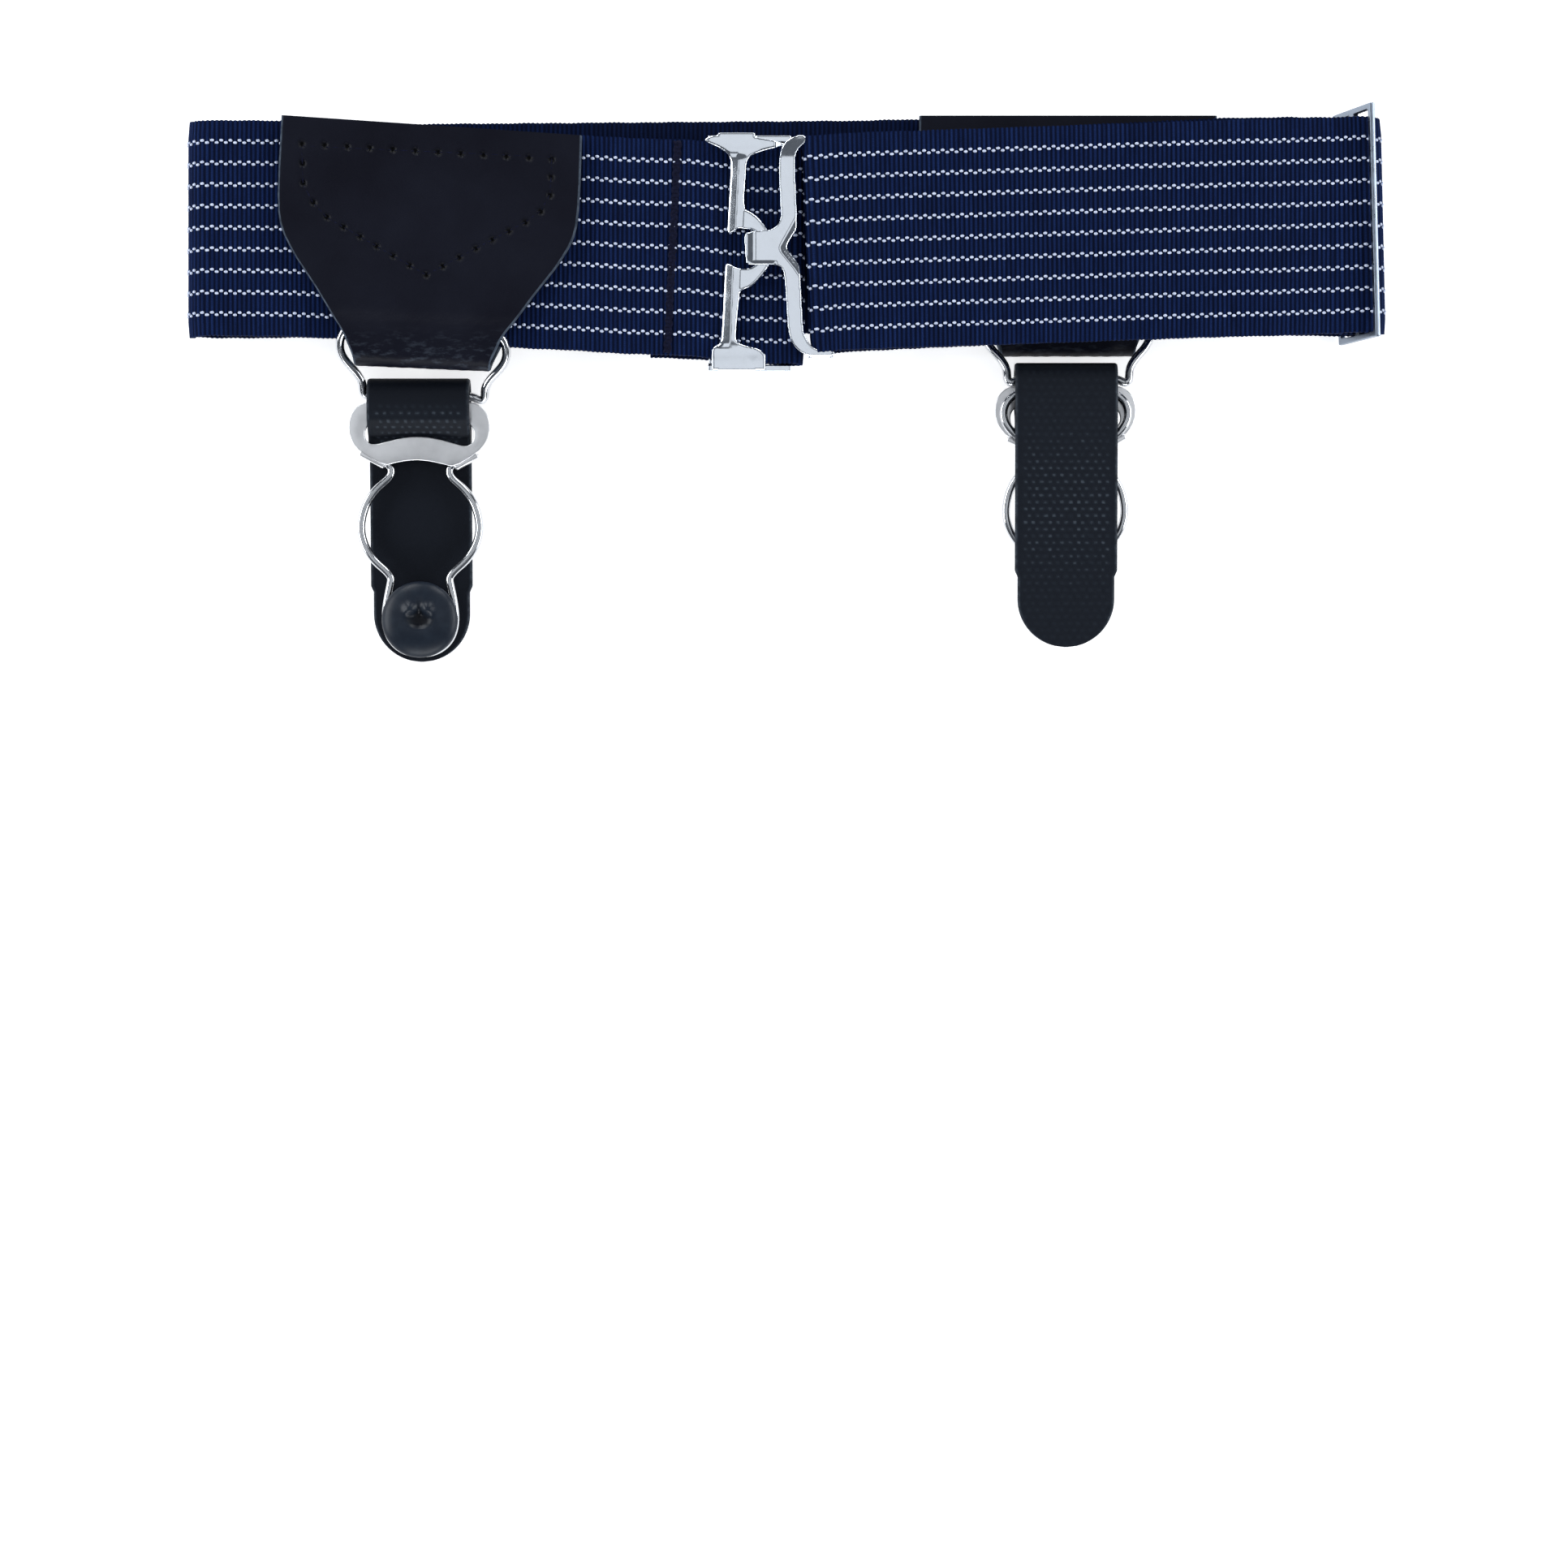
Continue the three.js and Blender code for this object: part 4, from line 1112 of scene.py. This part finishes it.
# Two corners of each bar: the top arm's riser and arm, the bottom link, and the bar in the fold
HOOK_BARS = [
    ((1.9, HOOK_TOP - 1.5, HOOK_BAR_Z), (3.1, HOOK_TOP + 0.1, HOOK_LINK)),
    ((1.9, HOOK_TOP - 1.5, HOOK_BAR_Z), (HOOK_RIGHT + 0.8, HOOK_TOP - 0.5, BAR_TOP)),
    ((3.8, HOOK_BOTTOM + 0.1, HOOK_BAR_Z), (HOOK_RIGHT + 0.8, HOOK_BOTTOM + 1.4, HOOK_LINK)),
    ((HOOK_RIGHT - 1.1, HOOK_BOTTOM + 0.2, HOOK_BAR_Z), (HOOK_RIGHT + 1.1, HOOK_TOP, BAR_TOP)),
]
NOTCH = [(3.4, 17.4), (2.4, 18.9), (0.3, 21.5), (2.2, 24.9), (3.0, 26.4)]
HOOK_PRESS = {"tongue": 0.5, "ledge": 0.22, "notch": 0.45, "top": 0.9, "bottom": 0.5, "ends": 0.8}

hook, rows = stamped_half("clasp_hook_plated", HOOK_OUTLINE, HOOK_FOOT, HOOK_BARS)
in_front = ease((rows[:, 2] - HOOK_FOOT + 0.45) / 0.35)
tongue = ease((-4.7 - rows[:, 0]) / 1.9)
ledge = ease((19.6 - rows[:, 1]) / 0.6) * ease((-1.2 - rows[:, 0]) / 1.0)
pressed = HOOK_PRESS["tongue"] * tongue + HOOK_PRESS["ledge"] * ledge * (1 - tongue)
pressed += HOOK_PRESS["notch"] * ease(1 - distance_to_path(rows[:, :2], NOTCH) / 1.3)
ends = HOOK_PRESS["top"] * ease((rows[:, 1] - 35.4) / 4.9)
ends += HOOK_PRESS["bottom"] * ease((8.6 - rows[:, 1]) / 5.0)
rows[:, 2] -= in_front * (pressed + HOOK_PRESS["ends"] * ends)
settle_half(hook, rows, "clasp_hook")

# %% [markdown]
# The slider sets the loop's length, with the elastic round its middle bar. It stands in the
# right fold, where only its edge shows, so plain bars merged into one skin are enough.

# %% Slider
SLIDER = {"width": 38.0, "slot": 35.9, "reach": 5.6, "bar": 0.9, "centre_bar": 1.3, "thick": 0.9,
          "inset": 0.2}
SLIDER_AT = (93.45, 25.45 + BAND_SHIFT_Y, 5.9)
SLIDER_LEAN = 1.204
SLIDER_TURN = 0.026
half_up, half_wide = SLIDER["reach"] + SLIDER["bar"] / 2, SLIDER["width"] / 2
half_slot, half_thick = SLIDER["slot"] / 2, SLIDER["thick"] / 2
crossbars = ((-SLIDER["reach"], SLIDER["bar"]), (0, SLIDER["centre_bar"]), (SLIDER["reach"], SLIDER["bar"]))
bar_half = half_wide - SLIDER["inset"]
slider_parts = [bar((x - size / 2, -bar_half, -half_thick), (x + size / 2, bar_half, half_thick))
                for x, size in crossbars]
for side in (-1, 1):
    inner, outer = sorted((side * half_slot, side * half_wide))
    slider_parts.append(bar((-half_up, inner, -half_thick), (half_up, outer, half_thick)))
slider = join(slider_parts, "slider_plated")
tumble(slider, CLASP_VOXEL, 4)
slider.matrix_world = (Matrix.Translation(Vector(SLIDER_AT) * MM) @ Matrix.Rotation(SLIDER_TURN, 4, "Z")
                       @ Matrix.Rotation(-SLIDER_LEAN, 4, "Y") @ Matrix.Scale(MM, 4))
settle(slider, SLIDER_METAL, ["slider"], smooth=80)

# %% [markdown]
# A garter plate is a bean-shaped rim round the strap's slot, with two lips turned down over
# the wire. A flat outline with a hole is filled and extruded, and the lips are short bars with
# rounder edges, because a sharp fold in a thin rim would need many more faces.

# %% Garter plates
PLATE_OUTLINE = [
    (-8.6, -1.5), (-10.0, -2.1), (-11.1, -3.3), (-11.6, -4.8), (-11.6, -6.6), (-11.0, -8.2),
    (-9.7, -9.7), (-5.7, -12.0), (-4.0, -11.5), (-2.0, -11.15), (0, -11.05), (2.0, -11.3), (4.0, -11.75),
    (5.7, -12.2), (9.5, -9.9), (10.9, -8.2), (11.6, -6.6), (11.6, -4.8), (11.1, -3.3), (10.0, -2.1),
    (8.6, -1.5),
]
PLATE_SLOT = [
    (-7.8, -3.9), (-8.0, -5.0), (-8.8, -5.9), (-9.0, -7.0), (-8.7, -7.9), (-7.7, -8.6), (-5.1, -7.95),
    (-2.6, -7.35), (0, -7.15), (2.6, -7.45), (5.1, -8.15), (7.3, -8.8), (8.4, -8.5), (9.0, -7.4),
    (8.9, -5.9), (8.0, -5.0), (7.8, -3.9),
]
PLATE_FOOT = 3.05
PLATE_THICK = 0.75
PLATE_EDGE = 0.2
BEVEL_FROM = math.radians(50)
LIPS = [{"from": (-9.85, -9.75), "to": (-5.75, -12.05)}, {"from": (5.85, -12.3), "to": (9.6, -10.15)}]
LIP = {"wide": 0.95, "foot": 1.75, "round": 0.32, "below": 0.12}


def rounded_edges(piece, width):
    """Bevels the edges that turn by more than BEVEL_FROM."""
    modified(piece, "BEVEL", width=width, segments=3, limit_method="ANGLE", angle_limit=BEVEL_FROM)


def garter_plate(clip):
    outlines = [soften_outline(PLATE_OUTLINE, 1), soften_outline(PLATE_SLOT, 2)]
    parts = [blank("plate", outlines, PLATE_FOOT, PLATE_THICK)]
    rounded_edges(parts[0], PLATE_EDGE)
    top = PLATE_FOOT + PLATE_THICK - LIP["below"]
    for lip in LIPS:
        start, stop = Vector(lip["from"]), Vector(lip["to"])
        side = stop - start
        middle = (start + stop) / 2
        long, wide = side.length / 2, LIP["wide"] / 2
        turned = bar((-long, -wide, LIP["foot"]), (long, wide, top))
        rounded_edges(turned, LIP["round"])
        turned.rotation_euler = (0, 0, math.atan2(side.y, side.x))
        turned.location = (middle.x, middle.y, 0)
        parts.append(turned)
    for part in parts:
        select(part)
        bpy.ops.object.transform_apply(location=True, rotation=True, scale=True)
    piece = join(parts, f"{clip['name']}_plate_satin")
    piece.matrix_world = slid_up(clip)
    return settle(piece, SATIN, [f"{clip['name']}_plate"], smooth=50)


for clip in CLIPS:
    garter_plate(clip)

# %% [markdown]
# The button is moulded rubber: a thin base, a neck that the wire closes round, and a domed
# head with a dimple. Half its outline is drawn as a row of vertices and spun round its axis.
# The rear one lies face down, so what would sink into the table is pressed flat on it.

# %% Buttons
BUTTON_Y = -37.1
BUTTON_OUTLINE = [
    (0, 1.5), (4.3, 1.5), (4.3, 2.1), (3.0, 2.25), (3.0, 4.0), (5.95, 4.0), (6.3, 4.25), (6.25, 4.6),
    (5.7, 5.15), (4.6, 5.7), (3.6, 6.0), (2.7, 6.15), (1.9, 6.22), (1.1, 6.26), (0.4, 6.28), (0, 6.28),
]
HEAD = {"from": 4.6, "over": 0.5}
DIMPLE = {"wide": 1.95, "tall": 1.4, "deep": 0.8}
GROOVE = {"wide": 0.6, "deep": 0.34, "fades_in": 1.2, "ends": 4.2, "fades_out": 2.5}
SHOULDER = {"x": 1.5, "y": 1.75, "reach": 1.0, "high": 0.65}


def button_press(x, y):
    """How far the head is pressed in at x, y: a dimple, a groove above it and a shoulder on each side."""
    dimple = DIMPLE["deep"] * np.exp(-((x / DIMPLE["wide"]) ** 2 + (y / DIMPLE["tall"]) ** 2) ** 2)
    groove = GROOVE["deep"] * hump(x, GROOVE["wide"]) * ease(y / GROOVE["fades_in"])
    groove *= ease((GROOVE["ends"] - y) / GROOVE["fades_out"])
    from_shoulder = np.hypot(np.abs(x) - SHOULDER["x"], y - SHOULDER["y"])
    return dimple + groove - SHOULDER["high"] * hump(from_shoulder, SHOULDER["reach"])


def button(clip):
    piece = made(bpy.ops.mesh.primitive_circle_add, vertices=len(BUTTON_OUTLINE), radius=1)
    piece.name = f"{clip['name']}_button_rubber"
    set_corners(piece, [(radius, 0, height) for radius, height in BUTTON_OUTLINE])
    turn = {"steps": 48, "angle": 2 * math.pi, "center": (0, 0, 0), "axis": (0, 0, 1)}
    edit(piece, (bpy.ops.mesh.spin, turn), (bpy.ops.mesh.remove_doubles, {"threshold": 0.001}),
         (bpy.ops.mesh.delete_loose, {}), (bpy.ops.mesh.normals_make_consistent, {"inside": False}))
    modified(piece, "SUBSURF", levels=2, render_levels=2)
    rows = corners_of(piece)
    pressed_in = button_press(rows[:, 0], rows[:, 1]) * ease((rows[:, 2] - HEAD["from"]) / HEAD["over"])
    rows[:, 2] -= pressed_in
    set_painted_light(piece, np.clip(pressed_in / DIMPLE["deep"], 0, 1))
    rows[:, 1] += BUTTON_Y
    set_corners(piece, rows)
    piece.matrix_world = slid_up(clip)
    settle(piece, RUBBER, [f"{clip['name']}_button"], smooth=60)
    rows = corners_of(piece)
    rows[:, 2] = np.maximum(rows[:, 2], FLOOR_Z)
    set_corners(piece, rows)


for clip in CLIPS:
    button(clip)
